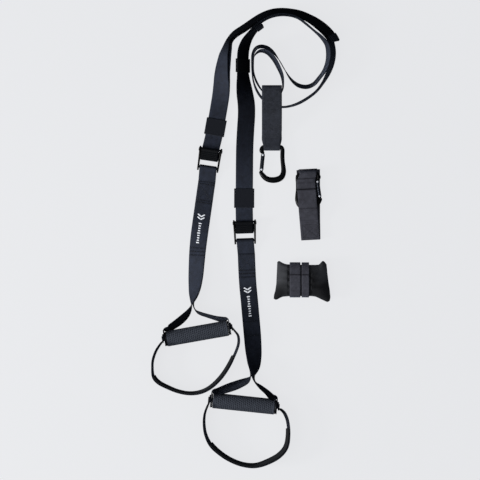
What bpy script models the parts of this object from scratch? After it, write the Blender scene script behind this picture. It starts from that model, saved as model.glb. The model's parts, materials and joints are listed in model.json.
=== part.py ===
"""Suspension trainer laid out flat: two adjustable webbing straps with grips and foot cradles,
an anchor tab with a carabiner, a folded extension strap with its own carabiner, and a door anchor.

Run with: blender --background --python part.py
Lengths are metres, +Z is up and the layout lies on z = 0. Routes of webbing are lists of places
in the layout drawing, whose unit is one drawing pixel with y running down.
"""

import math

import bmesh
import bpy
import numpy as np
from mathutils import Vector
from mathutils.geometry import tessellate_polygon

# Layout drawing: the size of one pixel, and the pixel at the middle of the layout
PX = 0.0022
MIDDLE_PX = (245.0, 238.0)

# One millimetre, the unit of heights in the route lists
MM = 0.001

# Roll of a strap that stands on edge, in degrees
UPRIGHT = 90

# Clearances
SEAT_GAP = 0.0003
CUT_OVERRUN = 0.002

# Webbing of the straps
WEB_WIDTH = 0.038
WEB_THICK = 0.0018
WEB_STEP = 0.013
FOLD_STEPS = 6
LAYER_PITCH = WEB_THICK + SEAT_GAP

# Keeper sleeves that hold each strap and its tail together
KEEPER_WALL = 0.0012
KEEPER_SIDE_PLAY = 0.0021
KEEPER_HEAD_PLAY = 0.0008
LEFT_KEEPER_LENGTH = 0.037
RIGHT_KEEPER_LENGTH = 0.0427
UPPER_KEEPER_LENGTH = 0.030
KEEPER_CORNER = 0.0016
KEEPER_LIFT = KEEPER_WALL + (SEAT_GAP + KEEPER_HEAD_PLAY) / 2

# Cam buckle
BUCKLE_LENGTH = 0.056
FLANGE_THICK = 0.0030
FLANGE_SIDE_PLAY = 0.0018
PLATE_THICK = 0.002
PLATE_START = 0.006
PLATE_LENGTH = 0.025
CAM_PIN_RADIUS = 0.002
CAM_PIN_PLACE = 0.011
CAM_PIN_HEAD = 0.0021
CAM_PIN_HEAD_RADIUS = 0.0034
CAM_HUB_RADIUS = 0.0042
CAM_LENGTH = 0.0225
CAM_TIP_THICK = 0.0032
CAM_ROOT_THICK = 0.0052
CAM_RIDGES = 5
CAM_RIDGE_HEIGHT = 0.0007
CAM_RIDGE_SHARES = [(0.15, 0.0), (0.5, 1.0), (0.85, 0.0)]
BAR_RADIUS = 0.003
BAR_FROM_END = 0.0068
CAM_SIDE_GAP = 0.0005
CAM_SPRING_ROOM = 0.0042
SPRING_WIRE = 0.0007
SPRING_TURNS = 2
SPRING_TURN_STEPS = 10
SPRING_LEG = 0.007

# Grip: a foam sleeve on a tube with an end cap at each end, carried by a core rod
GRIP_LENGTH = 0.136
GRIP_RADIUS = 0.0163
TUBE_RADIUS = 0.0122
TUBE_WALL = 0.002
TUBE_OVERHANG = 0.0005
CAP_THICK = 0.003
CAP_RADIUS = 0.0156
CAP_SPIGOT = 0.008
CORE_RADIUS = 0.004
CORE_HEAD_RADIUS = 0.0072
CORE_HEAD_THICK = 0.003

# Foot cradle
CRADLE_WIDTH = 0.036
CRADLE_THICK = 0.0018
PAD_WIDTH = 0.034
PAD_THICK = 0.0042

# Anchor tab, a webbing loop that carries the straps and the carabiner
TAB_WIDTH = 0.0415
TAB_EYE_WIDTH = 0.036
TAB_EYE_PLAY = 0.0012
TAB_THICK = 0.0020

# Carabiner, drawn with its gate on the left
BINER_TOP = 0.039
BINER_HALF_WIDTH = 0.0235
BINER_BOTTOM = 0.0335
BINER_BAR = 0.0042
BINER_TONGUE = 0.0015
BINER_STEP_SHARE = 1.3
TONGUE_WIDTH_SHARE = 0.72
GATE_RADIUS = 0.0036
GATE_PIN_RADIUS = 0.0011
GATE_FORK_GAP = 0.0003
HINGE_PLACE = (-0.0200, 0.0220)
LATCH_PLACE = (-0.0231, -0.0099)

# Gate: shares of its radius that its round ends reach past the pins, that its forks are deep, and that
# the rivets are half as long
GATE_END_SHARE = 0.95
FORK_REACH_SHARE = 1.35
RIVET_HALF_SHARE = 0.98
GATE_ROUND_SHARES = [(0.5, 0.94), (1.0, 0.62)]

# Middle line of the carabiner's bar: at the hinge and the latch, shares of the half width and of the gate's
# radius; between them, shares of the half width and of the reach up or down. The last value is the thickness
BINER_HINGE_SHARES = [(0.0, -0.8, 0.0), (0.0, 1.15, 0.0), (-0.05, 1.7, 0.7)]
BINER_BOW_SHARES = [
    (-0.98, 0.80, 1.0), (-0.94, 0.92, 1.0), (-0.80, 1.0, 1.0), (-0.4, 1.0, 1.0), (0.4, 1.0, 1.0),
    (0.80, 1.0, 1.0), (0.94, 0.92, 1.0), (0.98, 0.78, 1.0), (0.97, 0.50, 1.0), (1.00, 0.16, 1.0),
    (1.07, -0.22, 1.1), (1.07, -0.50, 1.2), (0.93, -0.78, 1.32), (0.62, -0.95, 1.38), (0.20, -1.02, 1.38),
    (-0.24, -1.0, 1.3), (-0.62, -0.88, 1.2), (-0.90, -0.66, 1.1),
]
BINER_LATCH_SHARES = [(-0.05, -1.8, 0.7), (-0.02, -1.15, 0.0), (0.0, 0.8, 0.0)]
BINER_THICKEST_SHARE = max(full for _, _, full in BINER_BOW_SHARES)

# Extension strap, folded into a flat bundle
BUNDLE_WIDTH = 0.0400
BUNDLE_THICK = 0.0018
BUNDLE_LAYERS = 4
BUNDLE_EYE_WIDTH = 0.037

# How the top layer comes down from the carabiner's bar: shares of the bundle's length and of the height
BUNDLE_RAMP_SHARES = [
    (0.16, 1.0), (0.30, 1.0), (0.44, 1.0), (0.545, 1.0), (0.60, 0.84), (0.66, 0.5), (0.72, 0.17),
    (0.78, 0.0), (0.90, 0.0), (1.0, 0.0),
]

# Door anchor: a filled pillow in two webbing bands
PILLOW_LENGTH = 0.118
PILLOW_DEPTH = 0.090
PILLOW_WAIST_SHARE = 0.91
PILLOW_HEIGHT = 0.031
PILLOW_POWER = 2.6
PILLOW_SEAM_SHARE = 0.42
PILLOW_BELLY_SHARE = 0.567
PILLOW_CELLS = (22, 16)
BAND_THICK = 0.0018
BAND_A_WIDTH = 0.0235
BAND_B_WIDTH = 0.0150

# Places of the two cam buckles: middle in the drawing, and lean to the right going down
BUCKLES = {
    "left": {"middle": (209.5, 158.2), "lean": -8.5},
    "right": {"middle": (244.8, 230.8), "lean": 2.0},
}

# Grips: middle in the drawing, and how far the right end leans down
GRIPS = {
    "left": {"middle": (197.4, 333.2), "lean": -10.0},
    "right": {"middle": (243.8, 403.2), "lean": 6.0},
}

# Main webbing between the buckles: x, y, roll in degrees, lift off the ground in millimetres
LEFT_STRAP = [
    (213.6, 137.5, 0, 1.75), (215.45, 127.25, 0, 1.75), (217.3, 117.0, 0, 1.75), (219.4, 105.0, -3, 1.4),
    (221.2, 94.0, -12, 0.6), (222.4, 84.0, -26, 0.3), (223.6, 73.0, -40, 0), (225.9, 61.0, -54, 0),
    (228.4, 50.5, -67, 0), (230.8, 42.0, -76, 0), (236.0, 35.4, -72, 0), (243.8, 29.9, -68, 0),
    (252.4, 23.8, -67, 0), (262.0, 17.6, -68, 0), (271.6, 13.8, -68, 0), (281.0, 12.6, -68, 0),
    (290.0, 13.3, -67, 0), (299.6, 15.4, -65, 0), (309.4, 19.8, -63, 0), (317.8, 25.9, -62, 0),
    (324.9, 32.8, -64, 0), (330.0, 40.2, -68, 0), (332.5, 48.0, -71, 0), (332.9, 56.0, -72, 0),
    (331.2, 65.0, -73, 0), (327.7, 74.0, -76, 0), (322.8, 83.0, -82, 0),
]
LOOP_STRAP = [
    (316.6, 91.2, -84, 0), (309.0, 97.4, -84, 0), (300.0, 102.8, -84, 0.8), (291.0, 106.2, -86, 2.0),
    (282.0, 107.4, -87, 2.5), (272.5, 105.4, -87, 2.5), (263.0, 99.6, -86, 2.5), (256.6, 90.6, -86, 1.2),
    (253.2, 80.6, -88, 0), (252.1, 71.0, -88, 0), (252.1, 61.0, -86, 0), (253.0, 54.0, -82, 0),
    (256.0, 48.8, -80, 0), (261.2, 46.9, -79, 0), (267.6, 48.4, -81, 0), (273.4, 53.0, -84, 0),
    (279.2, 60.8, -88, 0), (284.8, 70.4, -88, 0), (290.8, 79.6, -82, 0), (298.0, 85.6, -76, 0),
    (306.4, 87.2, -75, 0), (313.6, 84.4, -77, 0), (318.8, 78.6, -78, 0),
]
RIGHT_STRAP = [
    (322.6, 71.0, -74, 0), (325.2, 62.5, -73, 0), (326.1, 54.0, -72, 0), (324.7, 46.0, -76, 0),
    (320.8, 38.2, -82, 0), (314.6, 31.2, -90, 0), (306.6, 25.0, -92, 0), (297.4, 19.9, -92, 0),
    (287.6, 17.2, -92, 0), (277.0, 17.3, -91, 0), (266.8, 20.6, -90, 0), (257.2, 26.5, -85, 0),
    (250.3, 33.6, -76, 0), (245.8, 41.4, -64, 0.8), (243.2, 49.6, -55, 2.8), (242.5, 57.6, -52, 4.0),
    (242.5, 66.0, -52, 4.0), (242.5, 74.4, -51, 4.0), (243.2, 84.0, -38, 2.0), (244.6, 93.6, -20, 0.6),
    (246.2, 104.0, -7, 0.3),
    (246.5, 115.0, 0, 0.3), (245.6, 130.0, 0, 0.3), (244.8, 146.0, 0, 0.3), (244.5, 163.0, 0, 0.6),
    (244.4, 178.0, 0, 1.2), (244.3, 188.0, 0, 1.75), (244.2, 198.2, 0, 1.75), (244.2, 208.5, 0, 1.75),
]

# Places of the keepers along the straps
LEFT_KEEPER_PLACE = (215.45, 127.25)
RIGHT_KEEPER_PLACE = (244.2, 198.2)
UPPER_KEEPER_PLACE = (242.5, 66.0)

# Tails lie on the straps up to these places, and stand off them, in millimetres, by share of their way
LEFT_TAIL_LAST = (328.0, 38.5)
LEFT_TAIL_STAND = [
    (0.0, 0.0), (0.17, 0.0), (0.28, 5.0), (0.38, 7.0), (0.45, 4.0), (0.55, 1.0), (0.85, 0.6), (1.0, 7.5),
]
RIGHT_TAIL_LAST = (260.5, 25.0)
RIGHT_TAIL_STAND = [(0.0, 0.0), (0.80, 0.0), (0.90, 2.4), (0.96, 4.4), (1.0, 6.4)]
END_TAB_LENGTH = 0.014

# Handle webbing: doubled from the buckle's bar to the fork, then one leg to each end of the grip
LEFT_DOUBLE = [
    (207.0, 181.0, 0), (205.4, 192.0, 0), (203.7, 204.0, -2), (201.7, 218.0, -5), (199.6, 233.0, -10),
    (197.9, 248.0, -18), (196.8, 262.0, -26), (196.0, 275.0, -34), (195.1, 286.0, -46),
    (193.9, 295.0, -62), (192.6, 302.0, -82),
]
RIGHT_DOUBLE = [
    (246.4, 255.0, 0), (246.9, 268.0, 0), (247.8, 284.0, 0), (249.4, 301.0, 0), (250.9, 318.0, 2),
    (252.3, 334.0, 8), (253.3, 348.0, 20), (253.9, 358.0, 35), (253.8, 366.0, 50), (252.6, 373.0, 74),
]
LEFT_LEGS = {
    "left": [(190.4, 308.2, 98), (186.0, 315.0, 112), (179.2, 321.4, 116), (171.2, 327.0, 113)],
    "right": [(194.8, 308.8, 88), (199.4, 314.4, 80), (207.0, 317.4, 76), (216.0, 319.8, 73)],
}
RIGHT_LEGS = {
    "left": [(248.0, 379.6, 104), (239.6, 383.6, 116), (229.6, 387.2, 118), (220.4, 390.4, 113)],
    "right": [(254.8, 381.2, 88), (259.6, 387.4, 80), (266.4, 393.0, 74)],
}

# Foot cradles, from the grip's left end round to its right end: x, y, roll in degrees
LEFT_CRADLE = [
    (157.4, 347.6, 92), (153.8, 356.8, 94), (152.6, 366.4, 95), (153.6, 376.4, 98), (158.4, 382.4, 99),
    (166.8, 387.0, 99), (178.2, 391.6, 99), (190.0, 393.6, 99), (201.0, 392.2, 99), (211.0, 387.2, 100),
    (220.4, 378.4, 100), (228.2, 367.4, 99), (234.4, 355.0, 97), (237.6, 343.6, 94),
]
RIGHT_CRADLE = [
    (205.0, 412.0, 95), (204.2, 423.0, 97), (205.8, 434.0, 98), (210.8, 444.4, 100), (219.4, 452.8, 100),
    (230.6, 460.0, 100), (243.0, 464.6, 100), (255.4, 465.6, 100), (267.4, 462.0, 101), (279.0, 455.6, 101),
    (286.4, 446.6, 101), (288.6, 434.0, 99), (287.8, 421.4, 96),
]
LEFT_PAD_SHARES = (0.24, 0.80)
RIGHT_PAD_SHARES = (0.27, 0.84)

# The leg's turn across the grip's end, and the cradle's ends there: places back from the end and out
# from the grip's axis, as shares of the grip's radius. The leans are degrees of the leg over the grip
LEG_TURN_SHARES = [
    (0.75, -1.22), (0.30, -1.22), (0.05, -1.14), (0.0, -0.97), (0.0, -0.30), (0.0, 0.30), (0.0, 0.92),
]
LEG_TURN_LEANS = [20, 14, 3, 0, 0, 0, 0]
CRADLE_END_SHARES = [(0.0, -0.70), (0.0, -0.20), (0.0, 0.30), (0.0, 0.72)]
CRADLE_HAIRPIN_SHARES = [
    (0.0, 0.70), (0.0, 0.20), (0.0, -0.24), (0.0, -0.46), (-0.12, -0.64), (-0.36, -0.70), (-0.58, -0.50),
    (-0.66, -0.14), (-0.68, 0.20),
]

# Inner yoke ring that runs beside the strap's loop through the tab
YOKE_RING = [
    (263.0, 92.2, 90, 2.5), (257.4, 83.6, 93, 1.2), (254.1, 73.8, 94, 0), (253.5, 63.8, 94, 0),
    (255.2, 56.8, 90, 0), (260.0, 52.9, 82, 0), (266.6, 54.4, 74, 0), (272.6, 59.9, 71, 0),
    (277.6, 67.4, 72, 0), (281.8, 76.0, 79, 0.6), (283.0, 84.0, 86, 1.8), (282.4, 90.4, 88, 2.5),
    (278.8, 95.8, 88, 2.5), (272.6, 97.4, 88, 2.5), (267.2, 95.6, 88, 2.5),
]

# Side view of the anchor tab: y in the drawing, height in millimetres; the carabiner's eye is at its foot
TAB_TOP_SIDE = [
    (138.0, 11.4), (131.0, 18.6), (123.6, 29.4), (117.4, 38.6), (111.4, 42.2), (103.0, 42.6),
    (95.0, 42.6), (89.8, 42.3), (86.8, 38.5), (86.0, 20.5), (86.4, 5.0), (87.4, 1.9), (89.4, 1.0),
]
TAB_BOTTOM_SIDE = [(108.0, 1.0), (122.0, 1.0), (134.0, 1.0), (140.0, 1.0)]
TAB_MIDDLE_X = 271.8
ANCHOR_BINER_MIDDLE = (272.0, 165.0)

# Extension bundle: ends of its middle line, and the middle of its carabiner
BUNDLE_TOP = (307.6, 170.4)
BUNDLE_FOOT = (311.0, 240.0)
EXTENSION_BINER_MIDDLE = (309.0, 192.3)

# Door anchor
PILLOW_MIDDLE = (301.6, 281.0)
BAND_A_X = 295.2
BAND_B_X = 305.8

# Finishes
FINISHES = {
    "webbing": ((0.028, 0.031, 0.040), 0.85, 0.0),
    "keeper_elastic": ((0.020, 0.022, 0.027), 0.90, 0.0),
    "coated_steel": ((0.022, 0.023, 0.026), 0.42, 0.3),
    "bright_steel": ((0.62, 0.62, 0.64), 0.25, 1.0),
    "cam_zinc": ((0.024, 0.025, 0.028), 0.45, 0.4),
    "foam": ((0.045, 0.047, 0.056), 0.95, 0.0),
    "cap_plastic": ((0.020, 0.020, 0.022), 0.50, 0.0),
    "pad_neoprene": ((0.022, 0.024, 0.028), 0.90, 0.0),
    "anodised": ((0.014, 0.014, 0.016), 0.20, 0.7),
    "pillow_cloth": ((0.030, 0.030, 0.033), 0.92, 0.0),
}


def clear_scene():
    """Removes every object of the open scene."""
    for item in list(bpy.data.objects):
        bpy.data.objects.remove(item, do_unlink=True)


def finish(name):
    """Principled material of that name, made once."""
    if name in bpy.data.materials:
        return bpy.data.materials[name]
    colour, roughness, metallic = FINISHES[name]
    made = bpy.data.materials.new(name)
    made.use_nodes = True
    shader = made.node_tree.nodes["Principled BSDF"]
    shader.inputs["Base Color"].default_value = (*colour, 1.0)
    shader.inputs["Roughness"].default_value = roughness
    shader.inputs["Metallic"].default_value = metallic
    return made


def add_piece(name, points, faces, finish_name, pivot=None, parent=None, smooth_angle=None):
    """One named object from world points. Its origin is on pivot, and it hangs under parent."""
    pivot = Vector(pivot) if pivot is not None else Vector((0, 0, 0))
    mesh = bpy.data.meshes.new(name)
    mesh.from_pydata([tuple(Vector(point) - pivot) for point in points], [], faces)
    work = bmesh.new()
    work.from_mesh(mesh)
    bmesh.ops.recalc_face_normals(work, faces=work.faces)
    if work.calc_volume(signed=True) < 0:
        bmesh.ops.reverse_faces(work, faces=work.faces)
    work.to_mesh(mesh)
    work.free()
    if smooth_angle is not None:
        mesh.shade_smooth()
        mesh.set_sharp_from_angle(angle=smooth_angle)
    mesh.materials.append(finish(finish_name))
    item = bpy.data.objects.new(name, mesh)
    bpy.context.collection.objects.link(item)
    item.location = pivot
    if parent is not None:
        item.parent = parent
        item.location = pivot - parent.matrix_world.translation
    return item


def add_empty(name, place, parent=None):
    """An empty on a joint's axis, which carries the pieces of one moving body."""
    item = bpy.data.objects.new(name, None)
    bpy.context.collection.objects.link(item)
    item.location = Vector(place)
    if parent is not None:
        item.parent = parent
        item.location = Vector(place) - parent.matrix_world.translation
    bpy.context.view_layer.update()
    return item


def cut(item, cutter_points, cutter_faces):
    """Takes a closed cutter, given in world points, out of an item."""
    cutter = add_piece(item.name + "_cutter", cutter_points, cutter_faces, "coated_steel")
    boolean = item.modifiers.new("cut", "BOOLEAN")
    boolean.operation = "DIFFERENCE"
    boolean.solver = "EXACT"
    boolean.object = cutter
    bake_modifiers(item)
    bpy.data.objects.remove(cutter, do_unlink=True)


def join(item, others):
    """Boolean union of closed pieces into item; the others are removed."""
    for other in others:
        boolean = item.modifiers.new("join", "BOOLEAN")
        boolean.operation = "UNION"
        boolean.solver = "EXACT"
        boolean.object = other
        bake_modifiers(item)
        bpy.data.objects.remove(other, do_unlink=True)


def bake_modifiers(item):
    """Replaces an item's mesh by its evaluated mesh and clears its modifiers."""
    bpy.context.view_layer.update()
    graph = bpy.context.evaluated_depsgraph_get()
    baked = bpy.data.meshes.new_from_object(item.evaluated_get(graph))
    item.modifiers.clear()
    item.data = baked


def world(place, height=0.0):
    """World point of a place in the layout drawing."""
    return np.array([(place[0] - MIDDLE_PX[0]) * PX, (MIDDLE_PX[1] - place[1]) * PX, height])


def unit(vector):
    """The vector at length one."""
    return np.asarray(vector, float) / np.linalg.norm(vector)


def smooth_rows(rows, step, closed=False):
    """Rows read about every step metres from a Catmull-Rom curve through the given rows.

    The first three columns are a point; the other columns are carried along.
    """
    rows = np.asarray(rows, float)
    count = len(rows)
    out = []
    for i in range(count if closed else count - 1):
        if closed:
            four = [rows[(i + k - 1) % count] for k in range(4)]
        else:
            before = rows[i - 1] if i else 2 * rows[0] - rows[1]
            after = rows[i + 2] if i + 2 < count else 2 * rows[-1] - rows[-2]
            four = [before, rows[i], rows[i + 1], after]
        pieces = max(1, int(round(np.linalg.norm(four[2][:3] - four[1][:3]) / step)))
        for j in range(pieces):
            t = j / pieces
            out.append(
                0.5 * (2 * four[1] + (four[2] - four[0]) * t
                       + (2 * four[0] - 5 * four[1] + 4 * four[2] - four[3]) * t ** 2
                       + (3 * four[1] - four[0] - 3 * four[2] + four[3]) * t ** 3)
            )
    if not closed:
        out.append(rows[-1])
    return np.array(out)


def headings(points, closed=False):
    """Unit direction of travel at each point."""
    if closed:
        ahead = np.roll(points, -1, axis=0) - np.roll(points, 1, axis=0)
    else:
        ahead = np.gradient(points, axis=0)
    return ahead / np.linalg.norm(ahead, axis=1)[:, None]


def rolled_frames(points, rolls, closed=False):
    """Directions across and out of a strap: at roll 0 it lies flat, face up; at 90 it stands on edge."""
    along = headings(points, closed)
    level = along * [1, 1, 0]
    level /= np.linalg.norm(level, axis=1)[:, None]
    left = np.stack([-level[:, 1], level[:, 0], np.zeros(len(level))], axis=1)
    angle = np.radians(rolls)[:, None]
    across = np.cos(angle) * left + np.sin(angle) * np.array([0.0, 0.0, 1.0])
    across -= along * np.sum(across * along, axis=1)[:, None]
    across /= np.linalg.norm(across, axis=1)[:, None]
    return across, np.cross(along, across)


def strip_mesh(points, across, out, widths, thick, closed=False):
    """Points and faces of a strip of rectangular section carried along a route.

    Both faces of a twisted stretch are split along the same diagonal, picked by the side that looks
    up, so layers that lie on each other stay parallel.
    """
    half_w = np.asarray(widths, float).reshape(-1, 1) / 2
    half_t = thick / 2
    corners = np.stack([
        points - across * half_w - out * half_t, points + across * half_w - out * half_t,
        points + across * half_w + out * half_t, points - across * half_w + out * half_t,
    ], axis=1)
    count = len(points)
    faces = []
    for i in range(count if closed else count - 1):
        j = (i + 1) % count
        for k in (1, 3):
            m = (k + 1) % 4
            faces.append((4 * i + k, 4 * i + m, 4 * j + m, 4 * j + k))
        looks_up = out[i][2] + out[j][2] >= 0
        for left, right in ((0, 1), (3, 2)):
            a, b, c, d = 4 * i + left, 4 * i + right, 4 * j + right, 4 * j + left
            faces += [(a, b, c), (a, c, d)] if looks_up else [(a, b, d), (b, c, d)]
    if not closed:
        faces.append((3, 2, 1, 0))
        last = 4 * (count - 1)
        faces.append((last, last + 1, last + 2, last + 3))
    return corners.reshape(-1, 3), faces


def prism(outline, holes, origin, u_axis, v_axis, depth_axis, start, depth):
    """Points and faces of an outline with holes, pushed from start through depth along an axis."""
    loops = [list(outline)] + [list(hole) for hole in holes]
    flat = [Vector((u, v, 0)) for loop in loops for u, v in loop]
    triangles = tessellate_polygon([[Vector((u, v, 0)) for u, v in loop] for loop in loops])
    base = [origin + u_axis * p.x + v_axis * p.y + depth_axis * start for p in flat]
    top = [point + depth_axis * depth for point in base]
    count = len(flat)
    faces = [tuple(reversed(t)) for t in triangles] + [tuple(i + count for i in t) for t in triangles]
    first = 0
    for loop in loops:
        size = len(loop)
        for i in range(size):
            a, b = first + i, first + (i + 1) % size
            faces.append((a, b, b + count, a + count))
        first += size
    return base + top, faces


def arc(centre, radius, start, end, steps):
    """Points of an arc, angles in degrees."""
    angles = np.radians(np.linspace(start, end, steps + 1))
    return [(centre[0] + radius * math.cos(a), centre[1] + radius * math.sin(a)) for a in angles]


def circle(centre, radius, sides):
    """Points of a full circle, without the repeated last one."""
    return arc(centre, radius, 0, 360, sides)[:-1]


def rounded_box(half_u, half_v, corner, steps=3):
    """Outline of a rectangle with round corners about the origin."""
    points = []
    for su, sv, start in ((1, 1, 0), (-1, 1, 90), (-1, -1, 180), (1, -1, 270)):
        points += arc((su * (half_u - corner), sv * (half_v - corner)), corner, start, start + 90, steps)
    return points


def turned(profile, origin, axis, side, sides):
    """Points and faces of a closed profile of (place along axis, radius) turned about the axis."""
    axis, side = unit(axis), unit(side)
    other = np.cross(axis, side)
    points, faces = [], []
    count = len(profile)
    for k in range(sides):
        angle = 2 * math.pi * k / sides
        ray = math.cos(angle) * side + math.sin(angle) * other
        points += [origin + axis * along + ray * radius for along, radius in profile]
    for k in range(sides):
        m = (k + 1) % sides
        for i in range(count):
            j = (i + 1) % count
            faces.append((k * count + i, k * count + j, m * count + j, m * count + i))
    return points, faces


def rod(origin, axis, side, spans, sides):
    """Points and faces of a solid turned rod, given as rows of (place along axis, radius)."""
    axis, side = unit(axis), unit(side)
    other = np.cross(axis, side)
    points = []
    for along, radius in spans:
        for k in range(sides):
            angle = 2 * math.pi * k / sides
            points.append(origin + axis * along + (math.cos(angle) * side + math.sin(angle) * other) * radius)
    faces = [tuple(range(sides))[::-1]]
    for i in range(len(spans) - 1):
        for k in range(sides):
            m = (k + 1) % sides
            faces.append((i * sides + k, i * sides + m, (i + 1) * sides + m, (i + 1) * sides + k))
    last = (len(spans) - 1) * sides
    faces.append(tuple(range(last, last + sides)))
    return points, faces


def bar_along(points, half_across, half_up, sides, closed=False):
    """A solid bar of oval section along a level route; half sizes may change along it."""
    points = np.asarray(points, float)
    along = headings(points, closed)
    side = np.stack([-along[:, 1], along[:, 0], np.zeros(len(along))], axis=1)
    side /= np.linalg.norm(side, axis=1)[:, None]
    out = []
    for k in range(sides):
        angle = 2 * math.pi * (k + 0.5) / sides
        out.append(points + side * (math.cos(angle) * np.asarray(half_across))[:, None]
                   + np.array([0, 0, 1.0]) * (math.sin(angle) * np.asarray(half_up))[:, None])
    rings = np.stack(out, axis=1).reshape(-1, 3)
    count = len(points)
    faces = [tuple(range(sides))[::-1], tuple(range((count - 1) * sides, count * sides))]
    for i in range(count - 1):
        for k in range(sides):
            m = (k + 1) % sides
            faces.append((i * sides + k, i * sides + m, (i + 1) * sides + m, (i + 1) * sides + k))
    return rings, faces


def seated(table):
    """World rows of x, y, z and roll: the strap's lower edge lies on the ground, or lifted off it."""
    rows = []
    for x, y, roll, lift in table:
        upright = abs(math.sin(math.radians(roll)))
        level = abs(math.cos(math.radians(roll)))
        height = lift * MM + (WEB_WIDTH * upright + WEB_THICK * level) / 2
        rows.append([*world((x, y), height), roll])
    return np.array(rows)


class Strip:
    """Stations of a strap: middle points, directions across and out of it, and its width there."""

    def __init__(self, points, across, out, width):
        self.points = np.asarray(points, float)
        self.across = np.asarray(across, float)
        self.out = np.asarray(out, float)
        self.widths = np.broadcast_to(np.asarray(width, float), (len(self.points),)).copy()

    @classmethod
    def along(cls, rows, width, step, closed=False):
        """Stations read from a smooth curve through rows of x, y, z and roll."""
        dense = smooth_rows(rows, step, closed)
        across, out = rolled_frames(dense[:, :3], dense[:, 3], closed)
        return cls(dense[:, :3], across, out, width)

    @classmethod
    def folded(cls, points, across, width):
        """Stations of a fold or an eye, whose width keeps one direction."""
        points = np.asarray(points, float)
        along = headings(points)
        across = np.broadcast_to(across, points.shape)
        out = np.cross(along, across)
        return cls(points, across, out / np.linalg.norm(out, axis=1)[:, None], width)

    def __add__(self, other):
        return Strip(np.concatenate([self.points, other.points]), np.concatenate([self.across, other.across]),
                     np.concatenate([self.out, other.out]), np.concatenate([self.widths, other.widths]))

    def part(self, first, last):
        """Stations from first up to last, without last."""
        span = slice(first, last)
        return Strip(self.points[span], self.across[span], self.out[span], self.widths[span])

    def stood_off(self, distance):
        """The same stations, moved out along the strap's face."""
        distance = np.broadcast_to(np.asarray(distance, float), (len(self.points),))[:, None]
        return Strip(self.points + self.out * distance, self.across, self.out, self.widths)

    def nearest(self, place):
        """Index of the station nearest to a place in the drawing."""
        return int(np.argmin(np.linalg.norm(self.points[:, :2] - world(place)[:2], axis=1)))

    def shares(self):
        """Share of the strap's way at each station."""
        steps = np.linalg.norm(np.diff(self.points, axis=0), axis=1)
        way = np.concatenate([[0.0], np.cumsum(steps)])
        return way / way[-1]


def add_strip(name, strip, thick, finish_name, closed=False, **placing):
    """One webbing piece from its stations."""
    points, faces = strip_mesh(strip.points, strip.across, strip.out, strip.widths, thick, closed)
    return add_piece(name, points, faces, finish_name, **placing)


def fold_points(middle, along, radius, start, end, steps=FOLD_STEPS):
    """Arc in the upright plane of a direction: angles in degrees from that direction upwards."""
    angles = np.radians(np.linspace(start, end, steps + 1))
    up = np.array([0.0, 0.0, 1.0])
    return [middle + radius * (math.cos(a) * along + math.sin(a) * up) for a in angles]


class Buckle:
    """Axes, levels and places of one cam buckle."""

    def __init__(self, side):
        place = BUCKLES[side]
        lean = math.radians(place["lean"])
        self.down = np.array([math.sin(lean), -math.cos(lean), 0.0])
        self.right = np.array([math.cos(lean), math.sin(lean), 0.0])
        self.head = world(place["middle"]) - self.down * BUCKLE_LENGTH / 2
        self.plate_end = PLATE_START + PLATE_LENGTH
        self.strap_level = KEEPER_LIFT + WEB_THICK / 2
        self.plate_level = KEEPER_LIFT + WEB_THICK + SEAT_GAP
        self.tail_level = self.plate_level + PLATE_THICK + SEAT_GAP + WEB_THICK / 2
        self.cam_level = self.tail_level + WEB_THICK / 2 + SEAT_GAP
        self.pin_level = self.cam_level + CAM_HUB_RADIUS
        self.bar_level = SEAT_GAP + WEB_THICK + SEAT_GAP + BAR_RADIUS
        self.bar_place = BUCKLE_LENGTH - BAR_FROM_END
        self.inner_half = WEB_WIDTH / 2 + FLANGE_SIDE_PLAY
        self.outer_half = self.inner_half + FLANGE_THICK

    def at(self, along, height, across=0.0):
        """World point from places along and across the buckle, and a height."""
        return self.head + self.down * along + self.right * across + np.array([0.0, 0.0, height])

    def fold(self):
        """Main webbing from its end under the cam, round the plate's lower edge and back under it."""
        middle = self.at(self.plate_end, (self.strap_level + self.tail_level) / 2)
        radius = (self.tail_level - self.strap_level) / 2
        points = [self.at(self.plate_end - PLATE_LENGTH / 2, self.tail_level)]
        points += fold_points(middle, self.down, radius, 90, -90)
        points += [self.at(PLATE_START, self.strap_level)]
        return points


def build_straps(buckles):
    """Main webbing, tails, end tabs and the strips that the keepers follow."""
    left, right = buckles["left"], buckles["right"]
    rows = seated(LEFT_STRAP + LOOP_STRAP + RIGHT_STRAP)
    dense = Strip.along(rows, WEB_WIDTH, WEB_STEP)
    start = Strip.folded(left.fold(), -left.right, WEB_WIDTH)
    finish_fold = Strip.folded(right.fold()[::-1], right.right, WEB_WIDTH)
    add_strip("main_webbing", start + dense + finish_fold, WEB_THICK, "webbing")

    for side, buckle, last, stands in (
        ("left", left, LEFT_TAIL_LAST, LEFT_TAIL_STAND),
        ("right", right, RIGHT_TAIL_LAST, RIGHT_TAIL_STAND),
    ):
        if side == "left":
            carried = dense.part(0, dense.nearest(last) + 1)
        else:
            carried = dense.part(dense.nearest(last), len(dense.points))
            carried = Strip(carried.points[::-1], -carried.across[::-1], carried.out[::-1], WEB_WIDTH)
        stand = np.interp(carried.shares(), *zip(*stands)) * MM
        tail = carried.stood_off(LAYER_PITCH + stand)
        butt = buckle.plate_end - PLATE_LENGTH / 2 - SEAT_GAP
        across = -buckle.right
        lead = Strip.folded(
            [buckle.at(butt, buckle.tail_level), buckle.at(PLATE_START - PLATE_THICK, buckle.tail_level)],
            across, WEB_WIDTH)
        tail = lead + tail
        add_strip(side + "_tail_webbing", tail, WEB_THICK, "webbing")
        build_end_tab(side, tail)
    return dense


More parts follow.
